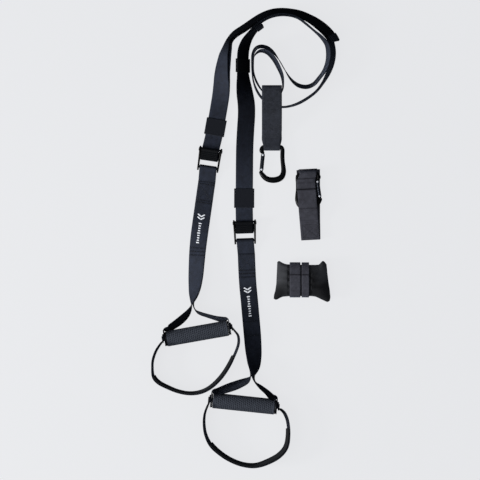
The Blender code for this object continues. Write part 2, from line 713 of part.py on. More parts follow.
def build_end_tab(side, tail):
    """A short webbing fold sewn over the end of a tail, which it follows on both faces."""
    way = tail.shares()
    length = float(np.linalg.norm(np.diff(tail.points, axis=0), axis=1).sum())
    first = int(np.argmin(abs(way - (1 - END_TAB_LENGTH / length))))
    first = min(first, len(tail.points) - 2)
    covered = tail.part(first, len(tail.points))
    end, across, out = covered.points[-1], covered.across[-1], covered.out[-1]
    along = np.cross(across, out)
    turn = [end + along * SEAT_GAP + LAYER_PITCH * (math.sin(a) * along + math.cos(a) * out)
            for a in np.radians(np.linspace(0, 180, FOLD_STEPS + 1))]
    turn = Strip.folded(turn, across, WEB_WIDTH)
    top = covered.stood_off(LAYER_PITCH)
    low = covered.stood_off(-LAYER_PITCH)
    low = Strip(low.points[::-1], low.across[::-1], -low.out[::-1], WEB_WIDTH)
    add_strip(side + "_end_tab", top + turn + low, WEB_THICK, "webbing")


def build_keeper(name, dense, place, length, parent_name=None):
    """A sleeve of elastic webbing round a strap and its tail, square to the strap at a place."""
    i = dense.nearest(place)
    along = unit(dense.points[min(i + 1, len(dense.points) - 1)] - dense.points[i - 1])
    across, out = dense.across[i], dense.out[i]
    middle = dense.points[i] + out * LAYER_PITCH / 2
    half_w = WEB_WIDTH / 2 + KEEPER_SIDE_PLAY
    pair = WEB_THICK + LAYER_PITCH
    inside = (pair + SEAT_GAP + KEEPER_HEAD_PLAY) / 2
    outer = rounded_box(half_w + KEEPER_WALL, inside + KEEPER_WALL, KEEPER_CORNER)
    inner = rounded_box(half_w, inside, KEEPER_CORNER - KEEPER_WALL)
    parent = add_empty(parent_name, middle) if parent_name else None
    axes = [Vector(v) for v in (middle, across, out, along)]
    points, faces = prism(outer, [inner[::-1]], *axes, -length / 2, length)
    add_piece(name, points, faces, "keeper_elastic", pivot=middle, parent=parent)
    return middle, along


def build_buckle(side, buckle):
    """Frame, pins, cam lever and cam spring of one buckle."""
    right, down, up = Vector(buckle.right), Vector(buckle.down), Vector((0, 0, 1))
    head = Vector(buckle.head)
    top = buckle.pin_level + CAM_HUB_RADIUS
    low = BAR_RADIUS * 2 + buckle.bar_level / 2
    outline = [
        (0, 0), (BUCKLE_LENGTH, 0), (BUCKLE_LENGTH, low),
        (BUCKLE_LENGTH - BAR_FROM_END / 2, low + BAR_RADIUS), (buckle.plate_end, low + BAR_RADIUS),
        (CAM_PIN_PLACE + 2 * CAM_HUB_RADIUS, top), (CAM_PIN_PLACE - CAM_HUB_RADIUS, top),
        (0, buckle.plate_level + PLATE_THICK),
    ]
    pin_hole = circle((CAM_PIN_PLACE, buckle.pin_level), CAM_PIN_RADIUS + SEAT_GAP, 14)
    bar_hole = circle((buckle.bar_place, buckle.bar_level), BAR_RADIUS + SEAT_GAP, 14)
    holes = [pin_hole[::-1], bar_hole[::-1]]
    flanges = []
    for start in (-buckle.outer_half, buckle.inner_half):
        points, faces = prism(outline, holes, head, down, up, right, start, FLANGE_THICK)
        flanges.append(add_piece(side + "_buckle_frame", points, faces, "coated_steel"))
    plate_outline = [
        (PLATE_START, buckle.plate_level), (buckle.plate_end, buckle.plate_level),
        (buckle.plate_end, buckle.plate_level + PLATE_THICK), (PLATE_START, buckle.plate_level + PLATE_THICK),
    ]
    half = buckle.inner_half + FLANGE_THICK / 2
    points, faces = prism(plate_outline, [], head, down, up, right, -half, 2 * half)
    plate = add_piece(side + "_buckle_plate_blank", points, faces, "coated_steel")
    frame = flanges[0]
    join(frame, [flanges[1], plate])
    frame.name = side + "_buckle_frame"

    pin_middle = buckle.at(CAM_PIN_PLACE, buckle.pin_level)
    half = buckle.outer_half + SEAT_GAP
    head_end = half + CAM_PIN_HEAD
    spans = [(-head_end, CAM_PIN_HEAD_RADIUS), (-half, CAM_PIN_HEAD_RADIUS), (-half, CAM_PIN_RADIUS),
             (half, CAM_PIN_RADIUS), (half, CAM_PIN_HEAD_RADIUS), (head_end, CAM_PIN_HEAD_RADIUS)]
    points, faces = rod(pin_middle, buckle.right, buckle.down, spans, 14)
    add_piece(side + "_cam_pin", points, faces, "coated_steel", smooth_angle=math.radians(40))

    bar_middle = buckle.at(buckle.bar_place, buckle.bar_level)
    spans = [(-buckle.outer_half, BAR_RADIUS), (buckle.outer_half, BAR_RADIUS)]
    points, faces = rod(bar_middle, buckle.right, buckle.down, spans, 14)
    add_piece(side + "_fixed_bar", points, faces, "coated_steel", smooth_angle=math.radians(40))

    build_cam(side, buckle, pin_middle)
    build_cam_spring(side, buckle)
    return pin_middle, bar_middle


def build_cam(side, buckle, pin_middle):
    """Cam lever: a hub on the pin and a ridged thumb plate that reaches towards the handle."""
    hub = (CAM_PIN_PLACE, buckle.pin_level)
    tip = CAM_PIN_PLACE + CAM_LENGTH
    outline = arc(hub, CAM_HUB_RADIUS, 90, 270, 12)
    outline += [(tip - CAM_TIP_THICK / 2, buckle.cam_level), (tip, buckle.cam_level + CAM_TIP_THICK / 2),
                (tip, buckle.cam_level + CAM_TIP_THICK)]
    root = CAM_PIN_PLACE + CAM_HUB_RADIUS
    foot = buckle.cam_level + CAM_TIP_THICK
    rise = buckle.cam_level + CAM_ROOT_THICK + CAM_RIDGE_HEIGHT - foot
    for k in range(CAM_RIDGES):
        for share, lift in CAM_RIDGE_SHARES:
            way = (k + share) / CAM_RIDGES
            outline.append((tip - (tip - root) * way, foot + rise * way + CAM_RIDGE_HEIGHT * lift))
    outline.append((root, foot + rise + CAM_RIDGE_HEIGHT))
    hole = circle(hub, CAM_PIN_RADIUS + SEAT_GAP, 14)
    start = CAM_SIDE_GAP - buckle.inner_half
    width = 2 * buckle.inner_half - CAM_SIDE_GAP - CAM_SPRING_ROOM
    axis = add_empty(side + "_cam_axis", pin_middle)
    points, faces = prism(outline, [hole[::-1]], Vector(buckle.head), Vector(buckle.down), Vector((0, 0, 1)),
                          Vector(buckle.right), start, width)
    add_piece(side + "_cam_lever", points, faces, "cam_zinc", pivot=pin_middle, parent=axis)


def build_cam_spring(side, buckle):
    """Torsion spring round the cam's pin, beside the hub, with a leg on the base plate."""
    radius = CAM_PIN_RADIUS + SEAT_GAP + SPRING_WIRE / 2
    pitch = (CAM_SPRING_ROOM - SPRING_WIRE - 3 * SEAT_GAP) / SPRING_TURNS
    start = buckle.inner_half - SEAT_GAP - SPRING_WIRE / 2
    steps = SPRING_TURN_STEPS * SPRING_TURNS - 2
    points = []
    foot = buckle.plate_level + PLATE_THICK + SEAT_GAP + SPRING_WIRE / 2
    points.append(buckle.at(CAM_PIN_PLACE + radius, foot, start))
    for k in range(steps + 1):
        angle = math.pi / 2 * (4 * SPRING_TURNS - 1) * k / steps
        place = CAM_PIN_PLACE + radius * math.cos(angle)
        across = start - pitch * k / SPRING_TURN_STEPS
        points.append(buckle.at(place, buckle.pin_level + radius * math.sin(angle), across))
    points.append(buckle.at(CAM_PIN_PLACE + SPRING_LEG, buckle.pin_level - radius, across))
    add_tube(side + "_cam_spring", points, SPRING_WIRE / 2, 1, "bright_steel")
    route = np.array(points)
    apart = np.linalg.norm(route[:, None] - route[None], axis=2)
    turn = SPRING_TURN_STEPS * SPRING_TURNS // 2
    far = abs(np.subtract.outer(np.arange(len(route)), np.arange(len(route)))) >= turn // 2
    print(side, "cam spring: least gap between turns, mm", round((apart[far].min() - SPRING_WIRE) / MM, 3))


def add_tube(name, points, radius, resolution, finish_name):
    """A round wire along points, as a curve with a bevel and filled caps."""
    curve = bpy.data.curves.new(name, "CURVE")
    curve.dimensions = "3D"
    curve.bevel_depth = radius
    curve.bevel_resolution = resolution
    curve.use_fill_caps = True
    spline = curve.splines.new("POLY")
    spline.points.add(len(points) - 1)
    for knot, place in zip(spline.points, points):
        knot.co = (*place, 1.0)
    curve.materials.append(finish(finish_name))
    item = bpy.data.objects.new(name, curve)
    bpy.context.collection.objects.link(item)
    return item


class Grip:
    """Axes and end places of one grip."""

    def __init__(self, side):
        lean = math.radians(GRIPS[side]["lean"])
        self.axis = np.array([math.cos(lean), -math.sin(lean), 0.0])
        self.out = np.array([-math.sin(lean), -math.cos(lean), 0.0])
        self.level = SEAT_GAP + WEB_WIDTH / 2
        self.middle = world(GRIPS[side]["middle"], self.level)
        self.cap_end = GRIP_LENGTH / 2 + SEAT_GAP + CAP_THICK
        self.leg_place = self.cap_end + SEAT_GAP + WEB_THICK / 2
        self.cradle_place = self.leg_place + WEB_THICK / 2 + SEAT_GAP + CRADLE_THICK / 2
        self.head_place = self.cradle_place + CRADLE_THICK / 2 + SEAT_GAP

    def at(self, along, out):
        """World point at a place along the grip's axis and out towards the cradle."""
        return self.middle + self.axis * along + self.out * out

    def end_rows(self, shares, place, sign):
        """World points of a table of shares at the left (-1) or right (1) end of the grip."""
        return [self.at(sign * (place - back * GRIP_RADIUS), out * GRIP_RADIUS) for back, out in shares]


def leg_rows(grip, table, end_sign, roll_of):
    """Rows of a leg from the fork to its end on the grip: smooth places, then the turn across the end."""
    rows = []
    for x, y, value in table:
        lean = math.radians(value)
        height = SEAT_GAP + (WEB_WIDTH * abs(math.sin(lean)) + WEB_THICK * abs(math.cos(lean))) / 2
        rows.append([*world((x, y), height), roll_of(value)])
    turn = grip.end_rows(LEG_TURN_SHARES, grip.leg_place, end_sign)
    for point, lean in zip(turn, LEG_TURN_LEANS):
        rows.append([*point, roll_of(UPRIGHT - end_sign * lean)])
    return rows


def build_handle_webbing(side, buckle, grip, doubled, legs, parent, bar_middle):
    """One strap from an end of the grip, up to the buckle's bar, round it and down to the other end."""
    sign = -1 if side == "left" else 1
    top_leg, low_leg = ("left", "right") if side == "left" else ("right", "left")
    eye = BAR_RADIUS + SEAT_GAP + WEB_THICK / 2

    rows = []
    for x, y, roll in doubled:
        lean = math.radians(roll)
        pair = WEB_THICK + LAYER_PITCH
        height = SEAT_GAP + (WEB_WIDTH * abs(math.sin(lean)) + pair * abs(math.cos(lean))) / 2
        rows.append([*world((x, y), height), roll])
    pair = Strip.along(np.array(rows[::-1]), WEB_WIDTH, WEB_STEP)
    upper = pair.stood_off(LAYER_PITCH / 2)
    lower = pair.stood_off(-LAYER_PITCH / 2)

    def leg(layer, key, heading_up):
        """Stations of a leg, whose curve starts along the doubled stretch."""
        end_sign = -1 if key == "left" else 1
        roll_of = (lambda value: sign * value) if heading_up else (lambda value: 180 - sign * value)
        start = [[*layer.points[i], roll_of(abs(rows[-1][3]))] for i in (1, 0)]
        start[0][3] = roll_of(abs(doubled[-2][2]))
        table = np.array(start + leg_rows(grip, legs[key], end_sign, roll_of))
        if heading_up:
            dense = smooth_rows(table[::-1], WEB_STEP)
            keep = dense[: int(np.argmin(np.linalg.norm(dense[:, :3] - layer.points[0], axis=1)))]
        else:
            dense = smooth_rows(table, WEB_STEP)
            keep = dense[int(np.argmin(np.linalg.norm(dense[:, :3] - layer.points[0], axis=1))) + 1:]
        across, out = rolled_frames(keep[:, :3], keep[:, 3])
        return Strip(keep[:, :3], across, out, WEB_WIDTH)

    bar = np.array(bar_middle)
    over_bar = [bar + np.array([0, 0, eye])] + fold_points(bar, -buckle.down, eye, 75, -90)
    turn = Strip.folded(over_bar, -buckle.right, WEB_WIDTH)
    back = Strip(lower.points[::-1], lower.across[::-1], -lower.out[::-1], WEB_WIDTH)
    strip = leg(upper, top_leg, True) + upper + turn + back + leg(lower, low_leg, False)
    item = add_strip(side + "_handle_webbing", strip, WEB_THICK, "webbing", pivot=bar_middle, parent=parent)
    cut_core_hole(item, grip)
    return strip


def cut_core_hole(item, grip):
    """Opens the hole that the grip's core passes through."""
    reach = grip.head_place + CUT_OVERRUN
    spans = [(-reach, CORE_RADIUS + SEAT_GAP), (reach, CORE_RADIUS + SEAT_GAP)]
    points, faces = rod(grip.middle, grip.axis, grip.out, spans, 14)
    cut(item, points, faces)


def build_grip(side, grip, parent):
    """Core rod, tube, foam and end caps; returns the empty that the turning pieces hang on."""
    axis, out = grip.axis, grip.out
    end = grip.head_place + CORE_HEAD_THICK
    spans = [(-end, CORE_HEAD_RADIUS), (-grip.head_place, CORE_HEAD_RADIUS), (-grip.head_place, CORE_RADIUS),
             (grip.head_place, CORE_RADIUS), (grip.head_place, CORE_HEAD_RADIUS), (end, CORE_HEAD_RADIUS)]
    points, faces = rod(grip.middle, axis, out, spans, 16)
    add_piece(side + "_grip_core", points, faces, "coated_steel", pivot=grip.middle, parent=parent,
              smooth_angle=math.radians(40))

    spin = add_empty(side + "_grip_axis", grip.middle, parent)
    half = GRIP_LENGTH / 2 - TUBE_OVERHANG
    bore = TUBE_RADIUS - TUBE_WALL
    points, faces = turned([(-half, bore), (-half, TUBE_RADIUS), (half, TUBE_RADIUS), (half, bore)],
                           grip.middle, axis, out, 20)
    add_piece(side + "_grip_tube", points, faces, "cap_plastic", pivot=grip.middle, parent=spin,
              smooth_angle=math.radians(40))

    half = GRIP_LENGTH / 2
    bore = TUBE_RADIUS + SEAT_GAP
    round_over = (GRIP_RADIUS - bore) / 3
    profile = [(-half, bore), (-half, GRIP_RADIUS - round_over), (-half + round_over, GRIP_RADIUS),
               (half - round_over, GRIP_RADIUS), (half, GRIP_RADIUS - round_over), (half, bore)]
    points, faces = turned(profile, grip.middle, axis, out, 24)
    add_piece(side + "_foam_grip", points, faces, "foam", pivot=grip.middle, parent=spin,
              smooth_angle=math.radians(40))

    hole = CORE_RADIUS + SEAT_GAP
    spigot = TUBE_RADIUS - TUBE_WALL - SEAT_GAP
    start = GRIP_LENGTH / 2 + SEAT_GAP
    for end_name, sign in (("left", -1), ("right", 1)):
        profile = [(start - CAP_SPIGOT, hole), (start - CAP_SPIGOT, spigot), (start, spigot),
                   (start, CAP_RADIUS), (start + CAP_THICK, CAP_RADIUS), (start + CAP_THICK, hole)]
        profile = [(sign * place, radius) for place, radius in profile]
        points, faces = turned(profile, grip.middle, axis, out, 20)
        add_piece(side + "_grip_cap_" + end_name, points, faces, "cap_plastic", pivot=grip.middle,
                  parent=spin, smooth_angle=math.radians(40))
    return spin


def cradle_level(roll):
    """Height of the cradle webbing's middle where its lower edge just clears the ground at that roll."""
    lean = math.radians(roll)
    return SEAT_GAP + (CRADLE_WIDTH * abs(math.sin(lean)) + CRADLE_THICK * abs(math.cos(lean))) / 2


def build_cradle(side, grip, route, right_shares, pad_shares, parent):
    """Foot cradle webbing from one end of the grip to the other, with a pad inside its far side."""
    swing = add_empty(side + "_cradle_axis", grip.middle, parent)
    ends = [grip.end_rows(CRADLE_END_SHARES, grip.cradle_place, -1),
            grip.end_rows(right_shares, grip.cradle_place, 1)[::-1]]
    rows = [[*point, UPRIGHT] for point in ends[0]]
    rows += [[*world((x, y), cradle_level(roll)), roll] for x, y, roll in route]
    rows += [[*point, UPRIGHT] for point in ends[1]]
    strip = Strip.along(np.array(rows), CRADLE_WIDTH, WEB_STEP)
    webbing = add_strip(side + "_cradle_webbing", strip, CRADLE_THICK, "webbing", pivot=grip.middle,
                        parent=swing)
    cut_core_hole(webbing, grip)

    shares = strip.shares()
    first = int(np.argmin(abs(shares - pad_shares[0])))
    last = int(np.argmin(abs(shares - pad_shares[1])))
    pad = strip.part(first, last + 1).stood_off(-(CRADLE_THICK + PAD_THICK) / 2 - SEAT_GAP)
    pad.widths[:] = PAD_WIDTH
    add_strip(side + "_cradle_pad", pad, PAD_THICK, "pad_neoprene", pivot=grip.middle, parent=swing)
    return strip


def build_anchor(dense):
    """Anchor tab, a closed webbing loop round the straps whose foot is the carabiner's eye."""
    bar = world((ANCHOR_BINER_MIDDLE[0], ANCHOR_BINER_MIDDLE[1])) + np.array([0, BINER_TOP, 0])
    eye = BINER_BAR + SEAT_GAP + TAB_EYE_PLAY + TAB_THICK / 2
    bar[2] = eye + TAB_THICK / 2
    middle_x = world((TAB_MIDDLE_X, 0))[0]
    points, widths = [], []
    for y, height in TAB_TOP_SIDE + TAB_BOTTOM_SIDE:
        place = world((0, y), height * MM)
        points.append([middle_x, place[1], place[2]])
        widths.append(TAB_WIDTH)
    foot = np.array([middle_x, bar[1], bar[2]])
    toward = np.array([0.0, -1.0, 0.0])
    for point in fold_points(foot, toward, eye, -90, 75, FOLD_STEPS + 2):
        points.append(point)
        widths.append(TAB_EYE_WIDTH)
    widths[0] = (TAB_WIDTH + TAB_EYE_WIDTH) / 2
    table = np.column_stack([np.array(points), widths])
    ring = smooth_rows(table, WEB_STEP, closed=True)
    travel = headings(ring[:, :3], closed=True)
    across = np.broadcast_to(np.array([1.0, 0.0, 0.0]), travel.shape)
    strip = Strip(ring[:, :3], across, np.cross(travel, across), ring[:, 3])
    add_strip("anchor_tab", strip, TAB_THICK, "webbing", closed=True)

    ring = Strip.along(seated(YOKE_RING), WEB_WIDTH, WEB_STEP, closed=True)
    add_strip("yoke_ring", ring, WEB_THICK, "webbing", closed=True)
    return bar


def carabiner_route():
    """Middle line of a carabiner's bar from the hinge's tongue round to the nose: x, y, thickness."""
    hinge_x, hinge_y = HINGE_PLACE
    latch_x, latch_y = LATCH_PLACE
    rows = [(hinge_x + BINER_HALF_WIDTH * x, hinge_y + GATE_RADIUS * y, full)
            for x, y, full in BINER_HINGE_SHARES]
    rows += [(BINER_HALF_WIDTH * x, (BINER_TOP if y > 0 else BINER_BOTTOM) * y, full)
             for x, y, full in BINER_BOW_SHARES]
    rows += [(latch_x + BINER_HALF_WIDTH * x, latch_y + GATE_RADIUS * y, full)
             for x, y, full in BINER_LATCH_SHARES]
    return rows


def build_carabiner(prefix, middle, mirror, tilt, root_parent):
    """Body, gate and two rivets of one carabiner; mirror puts its gate on the right."""
    c, s = math.cos(math.radians(tilt)), math.sin(math.radians(tilt))

    def place(x, y, height=0.0):
        x = -x if mirror else x
        return np.array(middle) + np.array([x * c - y * s, x * s + y * c, height])

    rows = carabiner_route()
    table = np.array([[*place(x, y), full] for x, y, full in rows])
    dense = smooth_rows(table, BINER_BAR * BINER_STEP_SHARE)
    full = dense[:, 3]
    slim = TONGUE_WIDTH_SHARE + (1 - TONGUE_WIDTH_SHARE) * full
    across = BINER_BAR * np.where(full > 1, full, slim)
    up = np.where(full > 1, BINER_BAR * full, BINER_TONGUE + (BINER_BAR - BINER_TONGUE) * np.clip(full, 0, 1))
    points, faces = bar_along(dense[:, :3], across, up, 10)
    body = add_piece(prefix + "_carabiner_body", points, faces, "anodised", pivot=middle, parent=root_parent,
                     smooth_angle=math.radians(45))

    hinge, latch = place(*HINGE_PLACE), place(*LATCH_PLACE)
    along = unit(latch - hinge)
    side = np.array([-along[1], along[0], 0.0])
    up_axis = np.array([0.0, 0.0, 1.0])
    length = float(np.linalg.norm(latch - hinge))

    gate_axis = add_empty(prefix + "_gate_axis", hinge, root_parent)
    end = GATE_RADIUS * GATE_END_SHARE
    spans = [(-end * place, GATE_RADIUS * thin) for place, thin in GATE_ROUND_SHARES[::-1]]
    spans += [(0, GATE_RADIUS), (length, GATE_RADIUS)]
    spans += [(length + end * place, GATE_RADIUS * thin) for place, thin in GATE_ROUND_SHARES]
    points, faces = rod(hinge, along, side, spans, 12)
    gate = add_piece(prefix + "_carabiner_gate", points, faces, "anodised", pivot=hinge, parent=gate_axis,
                     smooth_angle=math.radians(45))
    slot_half = BINER_TONGUE + GATE_FORK_GAP
    reach = GATE_RADIUS * FORK_REACH_SHARE
    for origin, back in ((hinge, 1), (latch, -1)):
        outline = [(-2 * GATE_RADIUS, -2 * GATE_RADIUS), (reach, -2 * GATE_RADIUS),
                   (reach, 2 * GATE_RADIUS), (-2 * GATE_RADIUS, 2 * GATE_RADIUS)]
        points, faces = prism(outline, [], Vector(origin), Vector(along * back), Vector(side),
                              Vector(up_axis), -slot_half, 2 * slot_half)
        cut(gate, points, faces)

    hole = GATE_PIN_RADIUS + SEAT_GAP
    span = GATE_RADIUS + CUT_OVERRUN
    for origin in (hinge, latch):
        points, faces = rod(origin, up_axis, side, [(-span, hole), (span, hole)], 10)
        cut(gate, points, faces)
    points, faces = rod(hinge, up_axis, side, [(-span, hole), (span, hole)], 10)
    cut(body, points, faces)
    inward = side if np.dot(side, np.array(middle) - hinge) > 0 else -side
    mouth = [(-hole, -hole), (3 * GATE_RADIUS, -hole), (3 * GATE_RADIUS, hole), (-hole, hole)]
    points, faces = prism(mouth, [], Vector(latch), Vector(inward), Vector(along), Vector(up_axis),
                          -slot_half - CUT_OVERRUN, 2 * (slot_half + CUT_OVERRUN))
    cut(body, points, faces)

    half = GATE_RADIUS * RIVET_HALF_SHARE
    points, faces = rod(hinge, up_axis, side, [(-half, GATE_PIN_RADIUS), (half, GATE_PIN_RADIUS)], 10)
    add_piece(prefix + "_hinge_rivet", points, faces, "bright_steel", pivot=hinge, parent=root_parent,
              smooth_angle=math.radians(40))
    points, faces = rod(latch, up_axis, side, [(-half, GATE_PIN_RADIUS), (half, GATE_PIN_RADIUS)], 10)
    add_piece(prefix + "_latch_rivet", points, faces, "bright_steel", pivot=hinge, parent=gate_axis,
              smooth_angle=math.radians(40))
    return hinge, latch


def build_extension():
    """Extension strap folded to and fro, with its last turn through the carabiner's eye."""
    top, foot = world(BUNDLE_TOP), world(BUNDLE_FOOT)
    down = unit(foot - top)
    right = np.array([-down[1], down[0], 0.0])
    length = float(np.linalg.norm(foot - top))
    pitch = BUNDLE_THICK + SEAT_GAP
    up = np.array([0.0, 0.0, 1.0])
    bar_middle = world(EXTENSION_BINER_MIDDLE)
    tilt = math.degrees(math.atan2(down[0], -down[1]))
    bar_place = float(np.dot(bar_middle - top, down)) - BINER_TOP
    basket = BINER_BAR * BINER_THICKEST_SHARE
    last_level = BUNDLE_THICK / 2 + (BUNDLE_LAYERS - 1) * pitch
    bar_level = last_level + BUNDLE_THICK / 2 + SEAT_GAP + basket
    eye = bar_level - last_level
    over = bar_level + basket + SEAT_GAP + BUNDLE_THICK / 2

    def at(along, height):
        return top + down * along + up * height

    points, widths = [], []
    for layer in range(BUNDLE_LAYERS):
        level = BUNDLE_THICK / 2 + layer * pitch
        inset = pitch if layer < BUNDLE_LAYERS - 1 else bar_place
        ends = [pitch, length - pitch] if layer % 2 == 0 else [length - pitch, inset]
        points += [at(ends[0], level), at((ends[0] + ends[1]) / 2, level), at(ends[1], level)]
        if layer < BUNDLE_LAYERS - 1:
            toward = down if layer % 2 == 0 else -down
            centre = at(ends[1], level + pitch / 2)
            points += fold_points(centre, toward, pitch / 2, -90, 90, 4)[1:-1]
        widths += [BUNDLE_WIDTH] * (len(points) - len(widths))
    eye_points = fold_points(at(bar_place, bar_level), -down, eye, -72, 90, FOLD_STEPS + 2)
    points += eye_points
    widths += [BUNDLE_EYE_WIDTH] * len(eye_points)
    rest = BUNDLE_THICK / 2 + BUNDLE_LAYERS * pitch
    for share, lift in BUNDLE_RAMP_SHARES:
        points.append(at(length * share, rest + (over - rest) * lift))
        widths.append(BUNDLE_WIDTH)
    strip = Strip.folded(np.array(points), right, widths)
    axis = add_empty("extension_seat", at(length / 2, 0))
    middle = at(length / 2, 0)
    add_strip("extension_webbing", strip, BUNDLE_THICK, "webbing", pivot=middle, parent=axis)
    biner = at(bar_place + BINER_TOP, bar_level)
    hinge, latch = build_carabiner("extension", biner, True, tilt, axis)
    return middle, biner, hinge


def pillow_point(u, v, face):
    """Point of the pillow's skin: u and v run from -1 to 1 over its plan, face is 1 above and -1 below."""
    pull = 1 - PILLOW_WAIST_SHARE
    x = PILLOW_LENGTH / 2 * u * (1 - pull / 2 * (1 - v * v))
    y = PILLOW_DEPTH / 2 * v * (1 - pull * (1 - u * u))
    crown = (max(0.0, 1 - abs(u) ** PILLOW_POWER) * max(0.0, 1 - abs(v) ** PILLOW_POWER)) ** 0.5
    seam = BAND_THICK + SEAT_GAP + PILLOW_HEIGHT * PILLOW_SEAM_SHARE
    rise = 1 - PILLOW_SEAM_SHARE if face > 0 else -PILLOW_BELLY_SHARE
    height = seam + PILLOW_HEIGHT * rise * crown
    height = max(height, BAND_THICK + SEAT_GAP)
    return world(PILLOW_MIDDLE) + np.array([x, y, height])


def build_door_anchor():
    """Filled pillow with a crown and drawn-in sides, in two webbing bands."""
    nu, nv = PILLOW_CELLS
    us, vs = np.linspace(-1, 1, nu + 1), np.linspace(-1, 1, nv + 1)
    points, index = [], {}
    for face in (1, -1):
        for i, u in enumerate(us):
            for j, v in enumerate(vs):
                rim = i in (0, nu) or j in (0, nv)
                if rim and face < 0:
                    index[(face, i, j)] = index[(1, i, j)]
                    continue
                index[(face, i, j)] = len(points)
                points.append(pillow_point(u, v, face))
    faces = []
    for face in (1, -1):
        for i in range(nu):
            for j in range(nv):
                quad = (index[(face, i, j)], index[(face, i + 1, j)],
                        index[(face, i + 1, j + 1)], index[(face, i, j + 1)])
                faces.append(quad if face > 0 else quad[::-1])
    middle = world(PILLOW_MIDDLE)
    axis = add_empty("door_anchor_seat", middle)
    add_piece("door_anchor_pillow", points, faces, "pillow_cloth", pivot=middle, parent=axis,
              smooth_angle=math.radians(60))

    for name, x_px, width in (("door_anchor_band_wide", BAND_A_X, BAND_A_WIDTH),
                              ("door_anchor_band_narrow", BAND_B_X, BAND_B_WIDTH)):
        x = world((x_px, 0))[0]
        inner_u = max(0.0, abs(x - middle[0]) - width / 2) / (PILLOW_LENGTH / 2)
        outer_u = (abs(x - middle[0]) + width / 2) / (PILLOW_LENGTH / 2)
        turns = [(v, 1) for v in vs] + [(v, -1) for v in vs[-2:0:-1]]
        section = np.array([
            (pillow_point(outer_u, v, face)[1], pillow_point(inner_u, v, face)[2]) for v, face in turns
        ])
        travel = np.roll(section, -1, axis=0) - np.roll(section, 1, axis=0)
        travel /= np.linalg.norm(travel, axis=1)[:, None]
        outward = np.stack([-travel[:, 1], travel[:, 0]], axis=1)
        stand = BAND_THICK / 2 + SEAT_GAP
        route = section + outward * (stand + BAND_THICK / 2)
        route[:, 1] = np.maximum(route[:, 1], BAND_THICK / 2)
        ring = np.column_stack([np.full(len(route), x), route])
        heading = headings(ring, closed=True)
        across = np.broadcast_to(np.array([1.0, 0.0, 0.0]), heading.shape)
        strip = Strip(ring, across, np.cross(heading, across), width)
        add_strip(name, strip, BAND_THICK, "webbing", closed=True, pivot=middle, parent=axis)
    return middle


def settle():
    """Moves the whole layout so that its box stands on the origin, and returns the shift."""
    bpy.context.view_layer.update()
    graph = bpy.context.evaluated_depsgraph_get()
    corners = []
    for item in bpy.data.objects:
        if item.type in {"MESH", "CURVE"}:
            mesh = item.evaluated_get(graph).to_mesh()
            flat = np.empty(len(mesh.vertices) * 3)
            mesh.vertices.foreach_get("co", flat)
            local = flat.reshape(-1, 3)
            matrix = np.array(item.matrix_world)
            corners.append(local @ matrix[:3, :3].T + matrix[:3, 3])
    cloud = np.concatenate(corners)
    low, high = cloud.min(axis=0), cloud.max(axis=0)
    shift = -np.array([(low[0] + high[0]) / 2, (low[1] + high[1]) / 2, low[2]])
    for item in bpy.data.objects:
        if item.parent is None:
            item.location += Vector(shift)
    bpy.context.view_layer.update()
    print("size", np.round(high - low, 5), "shift", np.round(shift, 6))
    return shift


def build():
    """The whole trainer."""
    clear_scene()
    buckles = {side: Buckle(side) for side in BUCKLES}
    grips = {side: Grip(side) for side in GRIPS}
    dense = build_straps(buckles)
    build_keeper("left_keeper", dense, LEFT_KEEPER_PLACE, LEFT_KEEPER_LENGTH, "left_keeper_axis")
    build_keeper("right_keeper", dense, RIGHT_KEEPER_PLACE, RIGHT_KEEPER_LENGTH, "right_keeper_axis")
    build_keeper("right_upper_keeper", dense, UPPER_KEEPER_PLACE, UPPER_KEEPER_LENGTH)

    doubled = {"left": LEFT_DOUBLE, "right": RIGHT_DOUBLE}
    legs = {"left": LEFT_LEGS, "right": RIGHT_LEGS}
    cradles = {"left": LEFT_CRADLE, "right": RIGHT_CRADLE}
    right_ends = {"left": CRADLE_HAIRPIN_SHARES, "right": CRADLE_END_SHARES}
    pads = {"left": LEFT_PAD_SHARES, "right": RIGHT_PAD_SHARES}
    for side, buckle in buckles.items():
        grip = grips[side]
        pin_middle, bar_middle = build_buckle(side, buckle)
        fold = add_empty(side + "_handle_axis", bar_middle)
        build_handle_webbing(side, buckle, grip, doubled[side], legs[side], fold, bar_middle)
        build_grip(side, grip, fold)
        build_cradle(side, grip, cradles[side], right_ends[side], pads[side], fold)

    bar = build_anchor(dense)
    swing = add_empty("anchor_carabiner_axis", bar)
    build_carabiner("anchor", bar - np.array([0, BINER_TOP, 0]), False, 0, swing)
    build_extension()
    build_door_anchor()
    shift = settle()
    for item in bpy.data.objects:
        if item.type == "EMPTY":
            print("axis", item.name, [round(v, 6) for v in item.matrix_world.translation])
    return shift


build()
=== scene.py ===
"""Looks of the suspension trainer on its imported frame: webbing, elastic, foam, neoprene, padded cloth,
coated steel and anodised carabiners, seen from straight above as in the photograph."""

import json
import math

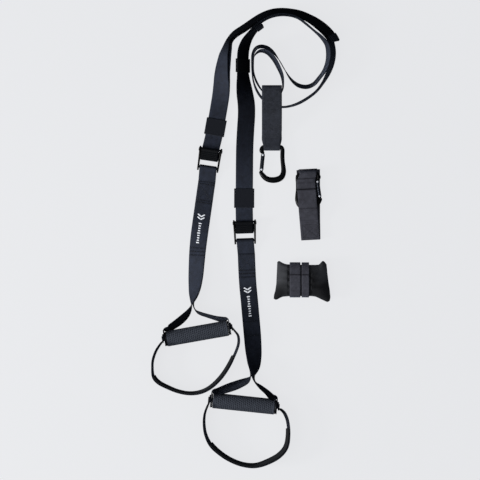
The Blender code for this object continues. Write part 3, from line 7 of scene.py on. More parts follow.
import bpy
import numpy as np
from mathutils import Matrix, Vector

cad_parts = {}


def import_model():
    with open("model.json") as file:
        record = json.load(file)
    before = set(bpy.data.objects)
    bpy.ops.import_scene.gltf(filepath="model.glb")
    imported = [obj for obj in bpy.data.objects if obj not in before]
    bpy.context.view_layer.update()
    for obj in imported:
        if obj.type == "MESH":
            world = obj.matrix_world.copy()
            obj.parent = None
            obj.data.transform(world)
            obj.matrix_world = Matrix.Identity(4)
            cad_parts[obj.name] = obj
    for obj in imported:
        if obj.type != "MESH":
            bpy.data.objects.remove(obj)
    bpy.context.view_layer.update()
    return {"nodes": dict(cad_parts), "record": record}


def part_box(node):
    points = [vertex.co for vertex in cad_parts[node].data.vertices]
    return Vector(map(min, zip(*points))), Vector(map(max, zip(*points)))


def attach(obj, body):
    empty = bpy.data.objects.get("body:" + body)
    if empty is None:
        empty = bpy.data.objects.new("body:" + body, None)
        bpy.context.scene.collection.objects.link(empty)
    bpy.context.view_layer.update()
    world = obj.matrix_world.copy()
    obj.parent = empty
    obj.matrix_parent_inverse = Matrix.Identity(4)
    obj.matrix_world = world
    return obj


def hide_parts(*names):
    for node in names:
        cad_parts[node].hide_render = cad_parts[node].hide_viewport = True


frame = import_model()

# Layout drawing, as in the part's source: metres of one pixel, and the drawing's middle pixel
PX = 0.0022
MIDDLE_PX = (245.0, 238.0)
MM = 0.001

# Roll of a strap that stands on edge, in degrees
UPRIGHT = 90
UP = np.array([0.0, 0.0, 1.0])

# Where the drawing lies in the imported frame, read from the pillow, whose box is even about its middle
PILLOW_MIDDLE = (301.6, 281.0)
pillow_low, pillow_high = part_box("door_anchor_pillow")
SHIFT = np.array([
    (pillow_low[0] + pillow_high[0]) / 2 - (PILLOW_MIDDLE[0] - MIDDLE_PX[0]) * PX,
    (pillow_low[1] + pillow_high[1]) / 2 - (MIDDLE_PX[1] - PILLOW_MIDDLE[1]) * PX,
    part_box("door_anchor_band_wide")[0][2],
])

# Clearances and webbing, as in the part's source
SEAT_GAP = 0.0003
WEB_WIDTH = 0.038
WEB_THICK = 0.0018
LAYER_PITCH = WEB_THICK + SEAT_GAP

# Stations along straps: their steps in metres, the steps of a half turn, the share of a step by which a gap
# may be too long, and how much further from a mark than the nearest station another one counts as near
FINE_STEP = 0.0025
COARSE_STEP = 0.013
FOLD_STEPS = 16
EVEN_SLACK = 0.25
MARK_REACH = 0.002

# Keeper sleeves that hold each strap and its tail together
KEEPER_WALL = 0.0012
KEEPER_SIDE_PLAY = 0.0021
KEEPER_HEAD_PLAY = 0.0008
KEEPER_CORNER = 0.0016
KEEPER_LIFT = KEEPER_WALL + (SEAT_GAP + KEEPER_HEAD_PLAY) / 2

# Cam buckle
BUCKLE_LENGTH = 0.056
FLANGE_SIDE_PLAY = 0.0018
PLATE_THICK = 0.002
PLATE_START = 0.006
PLATE_LENGTH = 0.025
CAM_PIN_PLACE = 0.011
CAM_HUB_RADIUS = 0.0042
BAR_RADIUS = 0.003
BAR_FROM_END = 0.0068

# Grip: a foam sleeve on a tube with an end cap at each end, carried by a core rod
GRIP_LENGTH = 0.136
GRIP_RADIUS = 0.0163
TUBE_RADIUS = 0.0122
CAP_THICK = 0.003
CAP_RADIUS = 0.0156
CORE_RADIUS = 0.004
CORE_HEAD_RADIUS = 0.0072

# Foot cradle
CRADLE_WIDTH = 0.036
CRADLE_THICK = 0.0018
PAD_WIDTH = 0.034
PAD_SEEN_THICK = 0.0033

# Anchor tab, a webbing loop that carries the straps and the carabiner
TAB_WIDTH = 0.0415
TAB_EYE_WIDTH = 0.036
TAB_EYE_PLAY = 0.0012
TAB_THICK = 0.0020

# Carabiner, drawn with its gate on the left
BINER_TOP = 0.039
BINER_HALF_WIDTH = 0.0235
BINER_BOTTOM = 0.0335
BINER_BAR = 0.0042
BINER_TONGUE = 0.0015
TONGUE_WIDTH_SHARE = 0.72
BINER_HINGE_SHARES = [(0.0, -0.8, 0.0), (0.0, 1.15, 0.0), (-0.05, 1.7, 0.7)]
BINER_BOW_SHARES = [
    (-0.98, 0.80, 1.0), (-0.94, 0.92, 1.0), (-0.80, 1.0, 1.0), (-0.4, 1.0, 1.0), (0.4, 1.0, 1.0),
    (0.80, 1.0, 1.0), (0.94, 0.92, 1.0), (0.98, 0.78, 1.0), (0.97, 0.50, 1.0), (1.00, 0.16, 1.0),
    (1.07, -0.22, 1.1), (1.07, -0.50, 1.2), (0.93, -0.78, 1.32), (0.62, -0.95, 1.38), (0.20, -1.02, 1.38),
    (-0.24, -1.0, 1.3), (-0.62, -0.88, 1.2), (-0.90, -0.66, 1.1),
]
BINER_LATCH_SHARES = [(-0.05, -1.8, 0.7), (-0.02, -1.15, 0.0), (0.0, 0.8, 0.0)]
GATE_RADIUS = 0.0036
HINGE_PLACE = (-0.0200, 0.0220)
LATCH_PLACE = (-0.0231, -0.0099)

# Extension strap, folded into a flat bundle
BUNDLE_THICK = 0.0018
BUNDLE_LAYERS = 4
BUNDLE_EYE_WIDTH = 0.037

# Door anchor: a filled pillow in two webbing bands
PILLOW_LENGTH = 0.118
PILLOW_HEIGHT = 0.031
PILLOW_POWER = 2.6
PILLOW_SIDE_POWER = 1.9
BAND_THICK = 0.0018
BAND_A_WIDTH = 0.0235
BAND_B_WIDTH = 0.0162
BAND_SLACK = 0.0024

# Places of the two cam buckles: middle in the drawing, and lean to the right going down
BUCKLES = {
    "left": {"middle": (209.5, 158.2), "lean": -8.5},
    "right": {"middle": (244.8, 230.8), "lean": 2.0},
}

# Grips: middle in the drawing, and how far the right end leans down
GRIPS = {
    "left": {"middle": (197.4, 333.2), "lean": -10.0},
    "right": {"middle": (243.8, 403.2), "lean": 6.0},
}

# Main webbing between the buckles: x, y, roll in degrees, lift off the ground in millimetres
LEFT_STRAP = [
    (213.6, 137.5, 0, 1.75), (215.45, 127.25, 0, 1.75), (217.3, 117.0, 0, 1.75), (219.4, 105.0, -3, 1.4),
    (221.2, 94.0, -12, 0.6), (222.4, 84.0, -26, 0.3), (223.6, 73.0, -40, 0), (225.9, 61.0, -54, 0),
    (228.4, 50.5, -67, 0), (230.8, 42.0, -76, 0), (236.0, 35.4, -72, 0), (243.8, 29.9, -68, 0),
    (252.4, 23.8, -67, 0), (262.0, 17.6, -68, 0), (271.6, 13.8, -68, 0), (281.0, 12.6, -68, 0),
    (290.0, 13.3, -67, 0), (299.6, 15.4, -65, 0), (309.4, 19.8, -63, 0), (317.8, 25.9, -62, 0),
    (324.9, 32.8, -64, 0), (330.0, 40.2, -68, 0), (332.5, 48.0, -71, 0), (332.9, 56.0, -72, 0),
    (331.2, 65.0, -73, 0), (327.7, 74.0, -76, 0), (322.8, 83.0, -82, 0),
]
LOOP_STRAP = [
    (316.6, 91.2, -84, 0), (309.0, 97.4, -84, 0), (300.0, 102.8, -84, 0.8), (291.0, 106.2, -86, 2.0),
    (282.0, 107.4, -87, 2.5), (272.5, 105.4, -87, 2.5), (263.0, 99.6, -86, 2.5), (256.6, 90.6, -86, 1.2),
    (253.2, 80.6, -88, 0), (252.1, 71.0, -88, 0), (252.1, 61.0, -86, 0), (253.0, 54.0, -82, 0),
    (256.0, 48.8, -78, 0), (261.2, 46.9, -76, 0), (267.6, 48.4, -77, 0), (273.4, 53.0, -81, 0),
    (279.2, 60.8, -88, 0), (284.8, 70.4, -88, 0), (290.8, 79.6, -82, 0), (298.0, 85.6, -76, 0),
    (306.4, 87.2, -75, 0), (313.6, 84.4, -77, 0), (318.8, 78.6, -78, 0),
]
RIGHT_STRAP = [
    (324.0, 71.4, -78, 0), (327.2, 62.9, -78, 0), (328.2, 54.0, -77, 0), (326.7, 45.2, -79, 0),
    (321.6, 38.0, -83, 0), (314.2, 31.4, -88, 0), (306.5, 24.9, -88, 0), (297.9, 18.5, -87, 0),
    (287.9, 15.6, -86, 0), (276.8, 15.7, -85, 0), (266.3, 19.2, -85, 0), (256.9, 25.8, -83, 0),
    (250.3, 33.6, -76, 0), (245.8, 41.4, -64, 0.8), (243.2, 49.6, -55, 2.8), (242.5, 57.6, -52, 4.0),
    (242.5, 66.0, -52, 4.0), (242.5, 74.4, -51, 4.0), (243.2, 84.0, -38, 2.0), (244.6, 93.6, -20, 0.6),
    (246.2, 104.0, -7, 0.3),
    (246.5, 115.0, 0, 0.3), (245.6, 130.0, 0, 0.3), (244.8, 146.0, 0, 0.3), (244.5, 163.0, 0, 0.6),
    (244.4, 178.0, 0, 1.2), (244.3, 188.0, 0, 1.75), (244.2, 198.2, 0, 1.75), (244.2, 208.5, 0, 1.75),
]

# Keepers: name, CAD node, place along the straps, length, body and painted shade
KEEPERS = [
    ("left_keeper", "left_keeper", (215.45, 127.25), 0.037, "left_keeper", 0.0),
    ("right_keeper", "right_keeper", (244.2, 198.2), 0.0427, "right_keeper", 0.0),
    ("upper_keeper", "right_upper_keeper", (242.5, 66.0), 0.030, "straps", 0.85),
]

# Tails lie on the straps up to these places, and stand off them, in millimetres, by share of their way
LEFT_TAIL_LAST = (330.6, 42.0)
LEFT_TAIL_STAND = [
    (0.0, 0.0), (0.17, 0.0), (0.28, 5.0), (0.38, 7.0), (0.45, 4.0), (0.55, 1.0), (0.85, 0.6), (1.0, 9.0),
]
RIGHT_TAIL_LAST = (260.5, 25.0)
RIGHT_TAIL_STAND = [(0.0, 0.0), (0.80, 0.0), (0.90, 2.4), (0.96, 4.4), (1.0, 6.4)]
END_TAB_LENGTH = 0.014

# Handle webbing: doubled from the buckle's bar to the fork, then one leg to each end of the grip
LEFT_DOUBLE = [
    (207.0, 181.0, 0), (205.4, 192.0, 0), (203.7, 204.0, -2), (201.7, 218.0, -5), (199.6, 233.0, -10),
    (197.9, 248.0, -18), (196.8, 262.0, -26), (196.0, 275.0, -34), (195.1, 286.0, -46),
    (193.9, 295.0, -62), (192.6, 302.0, -82),
]
RIGHT_DOUBLE = [
    (246.4, 255.0, 0), (246.9, 268.0, 0), (247.8, 284.0, 0), (249.4, 301.0, 0), (250.9, 318.0, 2),
    (252.3, 334.0, 8), (253.3, 348.0, 20), (253.9, 358.0, 35), (253.8, 366.0, 50), (252.6, 373.0, 74),
]
LEFT_LEGS = {
    "left": [(190.4, 308.2, 98), (186.0, 315.0, 112), (179.2, 321.4, 116), (171.2, 327.0, 113)],
    "right": [(194.8, 308.8, 88), (199.4, 312.8, 80), (207.0, 315.4, 78), (216.0, 318.0, 75)],
}
RIGHT_LEGS = {
    "left": [(248.0, 379.6, 104), (239.6, 383.6, 116), (229.6, 387.2, 118), (220.4, 390.4, 113)],
    "right": [(254.8, 381.2, 88), (260.4, 386.6, 80), (267.2, 392.2, 75)],
}

# Foot cradles, from the grip's left end round to its right end
LEFT_CRADLE = [
    (160.9, 343.4, 95), (156.4, 350.4, 96), (153.4, 358.6, 96), (152.6, 366.4, 95), (153.6, 376.4, 97),
    (158.4, 382.4, 97),
    (166.8, 387.0, 96), (178.2, 391.6, 95), (190.0, 393.6, 95), (201.0, 392.2, 96), (211.0, 387.2, 97),
    (220.4, 378.4, 98), (228.2, 367.4, 98), (234.4, 355.0, 97), (238.4, 344.0, 97), (238.2, 335.8, 97),
    (234.9, 330.9, 95),
]
RIGHT_CRADLE = [
    (207.6, 405.6, 95), (204.9, 413.4, 96), (204.2, 423.0, 97), (205.8, 434.0, 98), (210.8, 444.4, 100),
    (219.4, 452.8, 99),
    (230.6, 460.0, 98), (243.0, 464.6, 98), (255.4, 465.6, 99), (267.4, 462.0, 102), (279.0, 455.6, 102),
    (286.4, 446.6, 101), (288.6, 434.0, 99), (287.6, 421.4, 99), (284.6, 413.2, 100), (280.6, 409.0, 98),
]
LEFT_PAD_SHARES = (0.24, 0.80)
RIGHT_PAD_SHARES = (0.27, 0.84)

# The leg's turn across the grip's end, and the cradle's ends there: places back from the end and out
# from the grip's axis, as shares of the grip's radius
LEG_TURN_SHARES = [
    (0.75, -1.22), (0.30, -1.22), (0.05, -1.14), (0.0, -0.97), (0.0, -0.30), (0.0, 0.30), (0.0, 0.92),
]
LEG_TURN_LEANS = [20, 14, 3, 0, 0, 0, 0]
CRADLE_END_SHARES = [(0.0, -0.70), (0.0, -0.30), (0.0, 0.08)]
CRADLE_HAIRPIN_SHARES = [(0.0, -0.66), (0.0, -0.28), (-0.16, 0.02)]

# Inner yoke ring that runs beside the strap's loop through the tab
YOKE_RING = [
    (263.0, 92.2, 90, 2.5), (257.2, 83.6, 93, 1.2), (253.6, 73.8, 93, 0), (253.1, 63.8, 93, 0),
    (254.5, 56.0, 90, 0), (260.1, 51.4, 84, 0), (267.2, 52.6, 79, 0), (273.4, 58.7, 78, 0),
    (278.2, 67.0, 79, 0), (281.9, 76.0, 82, 0.6), (283.0, 84.0, 86, 1.8), (282.4, 90.4, 88, 2.5),
    (278.8, 95.8, 88, 2.5), (272.6, 97.4, 88, 2.5), (267.2, 95.6, 88, 2.5),
]

# Side view of the anchor tab: y in the drawing, height in millimetres; the carabiner's eye is at its foot
TAB_TOP_SIDE = [
    (138.0, 11.4), (131.0, 18.6), (123.6, 29.4), (117.4, 38.6), (111.4, 42.2), (103.0, 42.6),
    (95.0, 42.6), (89.8, 42.3), (86.8, 38.5), (86.0, 20.5), (86.4, 5.0), (87.4, 1.9), (89.4, 1.0),
]
TAB_BOTTOM_SIDE = [(108.0, 1.0), (122.0, 1.0), (134.0, 1.0), (140.0, 1.0)]
TAB_MIDDLE_X = 271.8
ANCHOR_BINER_MIDDLE = (272.0, 165.0)

# Extension bundle: ends of its middle line, and the middle of its carabiner
BUNDLE_TOP = (307.6, 170.4)
BUNDLE_FOOT = (311.0, 240.0)
EXTENSION_BINER_MIDDLE = (309.0, 192.3)

# Door anchor's bands: x of their middle lines in the drawing
BAND_A_X = 294.9
BAND_B_X = 305.2

# The pillow's plan: x of the sides by v, and y of the head and foot by u, in the drawing
PILLOW_LEFT = [(-1, 273.6), (-0.8, 273.9), (-0.55, 275.2), (-0.2, 276.2), (0.3, 276.6), (1, 277.2)]
PILLOW_RIGHT = [(-1, 329.6), (-0.8, 330.3), (-0.4, 329.6), (0.0, 328.4), (0.5, 327.3), (1, 326.4)]
PILLOW_HEAD = [(-1, 262.2), (-0.96, 260.9), (-0.9, 261.0), (-0.8, 262.6), (-0.66, 264.0), (-0.4, 264.6),
               (0.55, 264.8), (0.7, 264.5), (0.78, 262.0), (0.84, 260.6), (0.9, 261.2),
               (0.96, 262.8), (1, 264.6)]
PILLOW_FOOT = [(-1, 298.2), (-0.96, 299.6), (-0.9, 299.8), (-0.8, 298.2), (-0.68, 296.6), (-0.4, 296.0),
               (0.35, 296.0), (0.5, 296.6), (0.65, 298.6), (0.8, 300.6), (0.9, 301.9),
               (0.96, 301.8), (1, 300.2)]
PILLOW_FINE = np.linspace(-1, 1, 161)

# Studio: lamps as name, place, side in metres and watts, all aimed at the middle of the floor
LAMPS = [("key", (-2.6, -0.7, 1.05), 0.6, 74.0), ("fill", (-1.6, -0.8, 2.3), 1.4, 33.0)]
FLOOR_HALF = 8.0
FLOOR_LIT_SHARE = 0.07
ROOM_LIGHT = 0.36
ROOM_SHINE_LOSS = 0.72
CAMERA_HEIGHT = 8.0
SENSOR_WIDTH = 36.0
PHOTO_SIDE = 480
CRISP_ANGLE = 38

# Painted shade on lengths of webbing that turn away from the light: x, y and shade along each strap
MAIN_SHADES = [
    (213.6, 137.5, 0.1), (222.4, 84.0, 0.0), (227.4, 56.0, 0.1), (229.6, 46.0, 0.7), (231.4, 41.0, 0.9),
    (252.4, 23.8, 0.92), (309.4, 19.8, 0.85), (332.5, 48.0, 0.6), (327.7, 74.0, 0.4), (291.0, 106.2, 0.55),
    (252.1, 61.0, 0.7), (261.2, 46.9, 0.75), (279.2, 60.8, 0.5), (298.0, 85.6, 0.6), (313.6, 84.4, 0.45),
    (324.0, 66.0, 0.1), (326.1, 54.0, 0.0), (320.8, 38.2, 0.4), (297.4, 19.9, 0.6), (250.3, 33.6, 0.8),
    (243.2, 49.6, 0.9), (242.5, 74.4, 0.85), (246.5, 115.0, 0.7), (244.8, 146.0, 0.55), (244.4, 178.0, 0.1),
    (244.2, 208.5, 0.05),
]
YOKE_SHADES = [(263.0, 92.2, 0.3), (253.6, 73.8, 0.7), (254.9, 56.8, 0.7), (266.8, 53.6, 0.2),
               (278.2, 67.0, 0.1), (282.0, 80.0, 0.4)]
TAIL_SHADES = {
    "left": MAIN_SHADES[:4] + [(231.4, 41.0, 0.94), (252.4, 23.8, 0.96), (309.4, 19.8, 0.9),
                               (326.0, 35.0, 0.9)],
    "right": MAIN_SHADES[:-7:-1] + [(258.0, 26.5, 0.8)],
}
# Handles: painted shade along each layer, darkest in the fold round the buckle's bar and along the legs
HANDLE_SHADES = {
    "left": {"upper": [(208.6, 165.8, 0.95), (208.3, 167.6, 0.8), (208.0, 169.8, 0.05), (206.8, 184.0, 0.05),
                       (203.7, 204.0, 0.15), (201.7, 218.0, 0.3), (199.6, 233.0, 0.1), (196.8, 262.0, 0.0),
                       (194.6, 290.0, 0.1), (192.6, 302.0, 0.5), (186.0, 315.0, 0.85), (171.2, 327.0, 0.85)],
             "lower": [(208.6, 165.8, 0.9), (196.0, 275.0, 0.8), (192.6, 302.0, 0.8), (199.4, 314.4, 0.75),
                       (216.0, 319.8, 0.7)]},
    "right": {"upper": [(245.6, 238.6, 0.95), (245.7, 241.0, 0.8), (245.8, 243.4, 0.05), (247.8, 284.0, 0.1),
                        (248.6, 291.0, 0.45), (250.6, 312.0, 0.4), (251.6, 325.0, 0.35), (252.6, 340.0, 0.5),
                        (253.9, 358.0, 0.6), (252.6, 373.0, 0.7), (259.6, 387.4, 0.85), (266.4, 393.0, 0.85)],
              "lower": [(245.6, 238.6, 0.9), (252.6, 340.0, 0.8), (252.6, 373.0, 0.7), (239.6, 383.6, 0.6),
                        (220.4, 390.4, 0.7)]},
}
# Cradles: row of the route, and painted shade there, darkest at the ends by the grip
CRADLE_SHADES = [(0, 0.8), (2, 0.55), (-4, 0.55), (-1, 0.85)]

# Stitches: pitch along a row, gap at each end as a share of it, rings, sides and radius of one stitch, how
# far it narrows to its ends, and its height to its width
STITCH_PITCH = 0.0034
STITCH_GAP_SHARE = 0.14
STITCH_RINGS = 5
STITCH_SIDES = 6
STITCH_RADIUS = 0.00042
HANDLE_STITCH_RADIUS = 0.0005
STITCH_TAPER = 0.85
STITCH_FLAT = 0.8
# Half widths of the rows and boxes of stitches, across the strap
SEAM_HALF = 0.0165
BOX_HALF = 0.0158
TAB_BOX_HALF = 0.0175
# Painted shade in the groove where a row of stitches presses the webbing down: shade and reach along the strap
SEAM_LINE_SHADE = 0.62
SEAM_LINE_REACH = 0.0017

# Tails: step, painted shade and stitch rows of the sewn fold, in metres from its start
TAIL_FOLD_STEP = 0.0015
TAIL_FOLD_SHADE = 0.72
TAIL_FOLD_SEAMS = (0.004, 0.0095)

# Handle straps: start of the printed place, its offset to the right, and places of the stitches
LABEL_PLACES = {"left": (202.8, 214.6), "right": (248.6, 287.8)}
LABEL_SIDE = 0.0012
HANDLE_SEAMS = {
    "left": {"box": ((203.6, 201.0), (206.2, 184.2)),
             "lines": ((206.6, 182.0), (203.2, 203.2), (198.6, 247.6), (198.2, 252.2), (197.9, 255.6))},
    "right": {"box": ((247.3, 270.6), (246.5, 253.4)),
              "lines": ((247.6, 274.0), (247.8, 276.6), (251.1, 321.0), (252.3, 335.4), (253.3, 349.6))},
}
# Printed marks: arrow heads and gauge lines, the ink's rise, and rings and sides of one bar
ARROW_PITCH = 0.0064
ARROW_DEPTH = 0.0052
ARROW_HALF = 0.0078
MARK_WIDTH = 0.0027
GAUGE_START = 0.0205
GAUGE_PITCH = 0.0053
GAUGE_COUNT = 9
GAUGE_LONG_HALF = 0.0034
GAUGE_SHORT_HALF = 0.0024
INK_THICK = 0.00016
INK_LIFT = 0.00004
BAR_RINGS = 7
BAR_SIDES = 12

# Keeper sleeves: stations, and shares of the half length where the hems and the rounding start
KEEPER_RINGS = 44
KEEPER_STEP = 0.0022
KEEPER_HEM_FROM = 0.82
KEEPER_SOFT_FROM = 0.93
# The sleeve's wall between its hems and at its rounded ends; its lining's place in the wall, and its length
KEEPER_WAIST = 0.86
KEEPER_LEAST_WALL = 0.25
KEEPER_LINING = 0.1
KEEPER_LINING_LENGTH = 0.995

# Buckle frames as seen: the cheeks' thickness, flare, rounding and crown over the cam pin
FRAME_THICK = 0.0036
FRAME_FLARE = 0.0009
FLARE_START = 0.006
FLARE_LENGTH = 0.030
CHEEK_ROUND = 0.0011
CHEEK_STEP = 0.0012
CHEEK_TOE = 0.0080
CHEEK_FOOT = 0.0002
CHEEK_HEEL = 0.003
CHEEK_HEEL_RISE = 0.0026
CHEEK_NOSE = (0.0052, 0.004)
CHEEK_CROWN = [(1.9, -0.001), (0.6, 0.0006), (-0.75, -0.0006), (-1.2, -0.0045)]
PLATE_ROUND = 0.0006
PLATE_INTO_CHEEK = 0.001

# Carabiners as seen: the bar is broader and its foot shorter than in the CAD, the gate thicker
BINER_STEP = 0.0011
BINER_FOOT_SHARE = 0.97
BINER_BROADER = 1.12
BINER_BASKET_SHARE = 1.38
GATE_SEEN_RADIUS = 0.0043
GATE_END = 0.0030
RIVET_SEEN_RADIUS = 0.0024
RIVET_PROUD = 0.0004
# Rivet heads: rows of depth from the head's rim and share of its radius
RIVET_DOME = [(-0.0011, 0.02), (-0.0009, 0.45), (-0.0003, 0.8), (0.0008, 1.0)]

# End caps and cradle pads: rim and face ring of a cap; ends, waves and stitch rows of a pad
CAP_RIM = 0.0012
CAP_GROOVE = 0.0004
PAD_END_REACH = 0.008
PAD_WAVE = 0.0075
PAD_SEAM_IN = 0.003
PAD_SEAM_HALF = 0.0145

# Foam: it swells a little past its CAD sleeve; its stations, dimples round it, their depth and the painted shade
# in them
FOAM_SEEN_RADIUS = 0.0171
FOAM_ROUND = 0.0016
FOAM_AROUND = 240
FOAM_ALONG = 320
FOAM_CELLS = 22
FOAM_DIMPLE = 0.00075
FOAM_FLOOR_SHARE = 0.22
FOAM_PLAIN_END = 0.004
FOAM_PIT_SHADE = 0.45

# Anchor tab as seen: a little broader than its CAD strip; what lies lower than the low side is its lower run
TAB_SPREAD = 0.0022
TAB_STEP = 0.0022
TAB_LOW_SIDE = 0.003
# Places of its two boxes of stitches in the drawing, and of two rows past the first box in metres
TAB_SEAM_PLACES = (134.5, 124.5, 110.5, 92.0)
TAB_ROWS = (0.006, 0.011)

# Extension: sideways place of each folded layer at the bundle's top and foot, and of the top layer
EXTENSION_WIDTH = 0.0408
LAYER_SIDES = ((0.0070, -0.0004), (0.0052, 0.0004), (-0.0042, -0.0006), (-0.0066, -0.0012))
TOP_LAYER_SIDES = (-0.0062, -0.0012)
BUNDLE_OVER_TOP = 0.0034
BUNDLE_OVER_SHARE = 0.3
# Rise of the top layer over the carabiner: share of the bundle's length, and share of the rise
EXTENSION_RAMP = [(0.16, 1.0), (0.30, 1.0), (0.44, 1.0), (0.545, 1.0), (0.60, 0.84), (0.66, 0.5),
                  (0.72, 0.17), (0.78, 0.0), (0.90, 0.0), (1.0, 0.0)]
# Painted shade in lines where the top layer's folds lie: y in the drawing, reach in metres, and shade
EXTENSION_LINES = [(169.4, 0.0012, 0.9), (178.6, 0.0011, 0.75), (182.6, 0.0010, 0.6), (189.4, 0.0017, 0.95),
                   (208.6, 0.0010, 0.55), (220.0, 0.0008, 0.3)]
# Painted shade over the layers under the top one
LOW_LAYER_SHADE = 0.25
# Its box and row of stitches, in metres back from the end
EXTENSION_BOX = (0.034, 0.006)
EXTENSION_BOX_HALF = 0.0155
EXTENSION_ROW = 0.040

# Pillow: share of its height under the seam, sag of its lower face, stations, puff, creases and puckered rim
PILLOW_SEAM_SHARE = 0.42
PILLOW_SAG = 1.35
PILLOW_GRID = (230, 170)
PILLOW_PUFF = 0.0023
PILLOW_BROAD = 0.0011
BAND_HOLD_REACH = 0.006
CREASE_HEIGHT = 0.0020
CREASE_REACH = 0.018
CREASE_WAVE = 0.0029
CREASE_DRIFT = 0.021
PUCKER_HEIGHT = 0.00035
PUCKER_WAVE = 0.00075
# Its painted shade: half width of both bands together, and reaches beside them and down to the foot
BANDS_HALF = 0.0215
BANDS_SHADE_REACH = 0.007
FOOT_SHADE_REACH = 0.028
# Painted shade in a line across both bands, at their seam: y in the drawing, reach and shade
BAND_SEAM_PLACE = 274.7
BAND_SEAM_REACH = 0.0011
BAND_SEAM_SHADE = 0.85


def softened(table):
    """A table read at the fine shares and smoothed over seven of them."""
    line = np.interp(PILLOW_FINE, *zip(*table))
    padded = np.concatenate([np.full(3, line[0]), line, np.full(3, line[-1])])
    return np.convolve(padded, np.ones(7) / 7, "valid")


PILLOW_HEAD_LINE = softened(PILLOW_HEAD)
PILLOW_FOOT_LINE = softened(PILLOW_FOOT)


def world(place, height=0.0):
    """World point of a place in the layout drawing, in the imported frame."""
    return np.array([(place[0] - MIDDLE_PX[0]) * PX, (MIDDLE_PX[1] - place[1]) * PX, height]) + SHIFT


def unit(vector):
    """The vector at length one."""
    return np.asarray(vector, float) / np.linalg.norm(vector)


def units(rows):
    """Each row at length one."""
    return rows / np.linalg.norm(rows, axis=1)[:, None]


def smooth_rows(rows, step, closed=False):
    """Rows read about every step metres from a Catmull-Rom curve through the given rows.

    Between rows b and c, with a before and d after and t from 0 to 1, a row is
    0.5 (2b + (c - a) t + (2a - 5b + 4c - d) t^2 + (3b - a - 3c + d) t^3).
    """
    rows = np.asarray(rows, float)
    count = len(rows)
    out = []
    for i in range(count if closed else count - 1):
        if closed:
            a, b, c, d = [rows[(i + k - 1) % count] for k in range(4)]
        else:
            a = rows[i - 1] if i else 2 * rows[0] - rows[1]
            b, c = rows[i], rows[i + 1]
            d = rows[i + 2] if i + 2 < count else 2 * rows[-1] - rows[-2]
        pieces = max(1, int(round(np.linalg.norm(c[:3] - b[:3]) / step)))
        for j in range(pieces):
            t = j / pieces
            out.append(0.5 * (2 * b + (c - a) * t + (2 * a - 5 * b + 4 * c - d) * t ** 2
                              + (3 * b - a - 3 * c + d) * t ** 3))
    if not closed:
        out.append(rows[-1])
    return np.array(out)


def headings(points, closed=False):
    """Unit direction of travel at each point: the difference of its neighbours at length one."""
    if closed:
        ahead = np.roll(points, -1, axis=0) - np.roll(points, 1, axis=0)
    else:
        ahead = np.gradient(points, axis=0)
    return units(ahead)


def rolled_frames(points, rolls, closed=False):
    """Directions across and out of a strap: at roll 0 it lies flat, face up; at 90 it stands on edge.

    across = cos(roll) left + sin(roll) up, made square to the heading; out = heading x across.
    """
    along = headings(points, closed)
    level = units(along * [1, 1, 0])
    left = np.stack([-level[:, 1], level[:, 0], np.zeros(len(level))], axis=1)
    angle = np.radians(rolls)[:, None]
    across = np.cos(angle) * left + np.sin(angle) * UP
    across = units(across - along * np.sum(across * along, axis=1)[:, None])
    return across, np.cross(along, across)


def seated(table):
    """World rows of x, y, z and roll: the strap's lower edge lies on the ground, or lifted off it."""
    rows = []
    for x, y, roll, lift in table:
        upright = abs(math.sin(math.radians(roll)))
        level = abs(math.cos(math.radians(roll)))
        height = lift * MM + (WEB_WIDTH * upright + WEB_THICK * level) / 2
        rows.append([*world((x, y), height), roll])
    return np.array(rows)


def fold_points(middle, along, radius, start, end, steps=FOLD_STEPS):
    """Arc in the upright plane of a direction: angles in degrees from that direction upwards."""
    angles = np.radians(np.linspace(start, end, steps + 1))
    return [middle + radius * (math.cos(a) * along + math.sin(a) * UP) for a in angles]


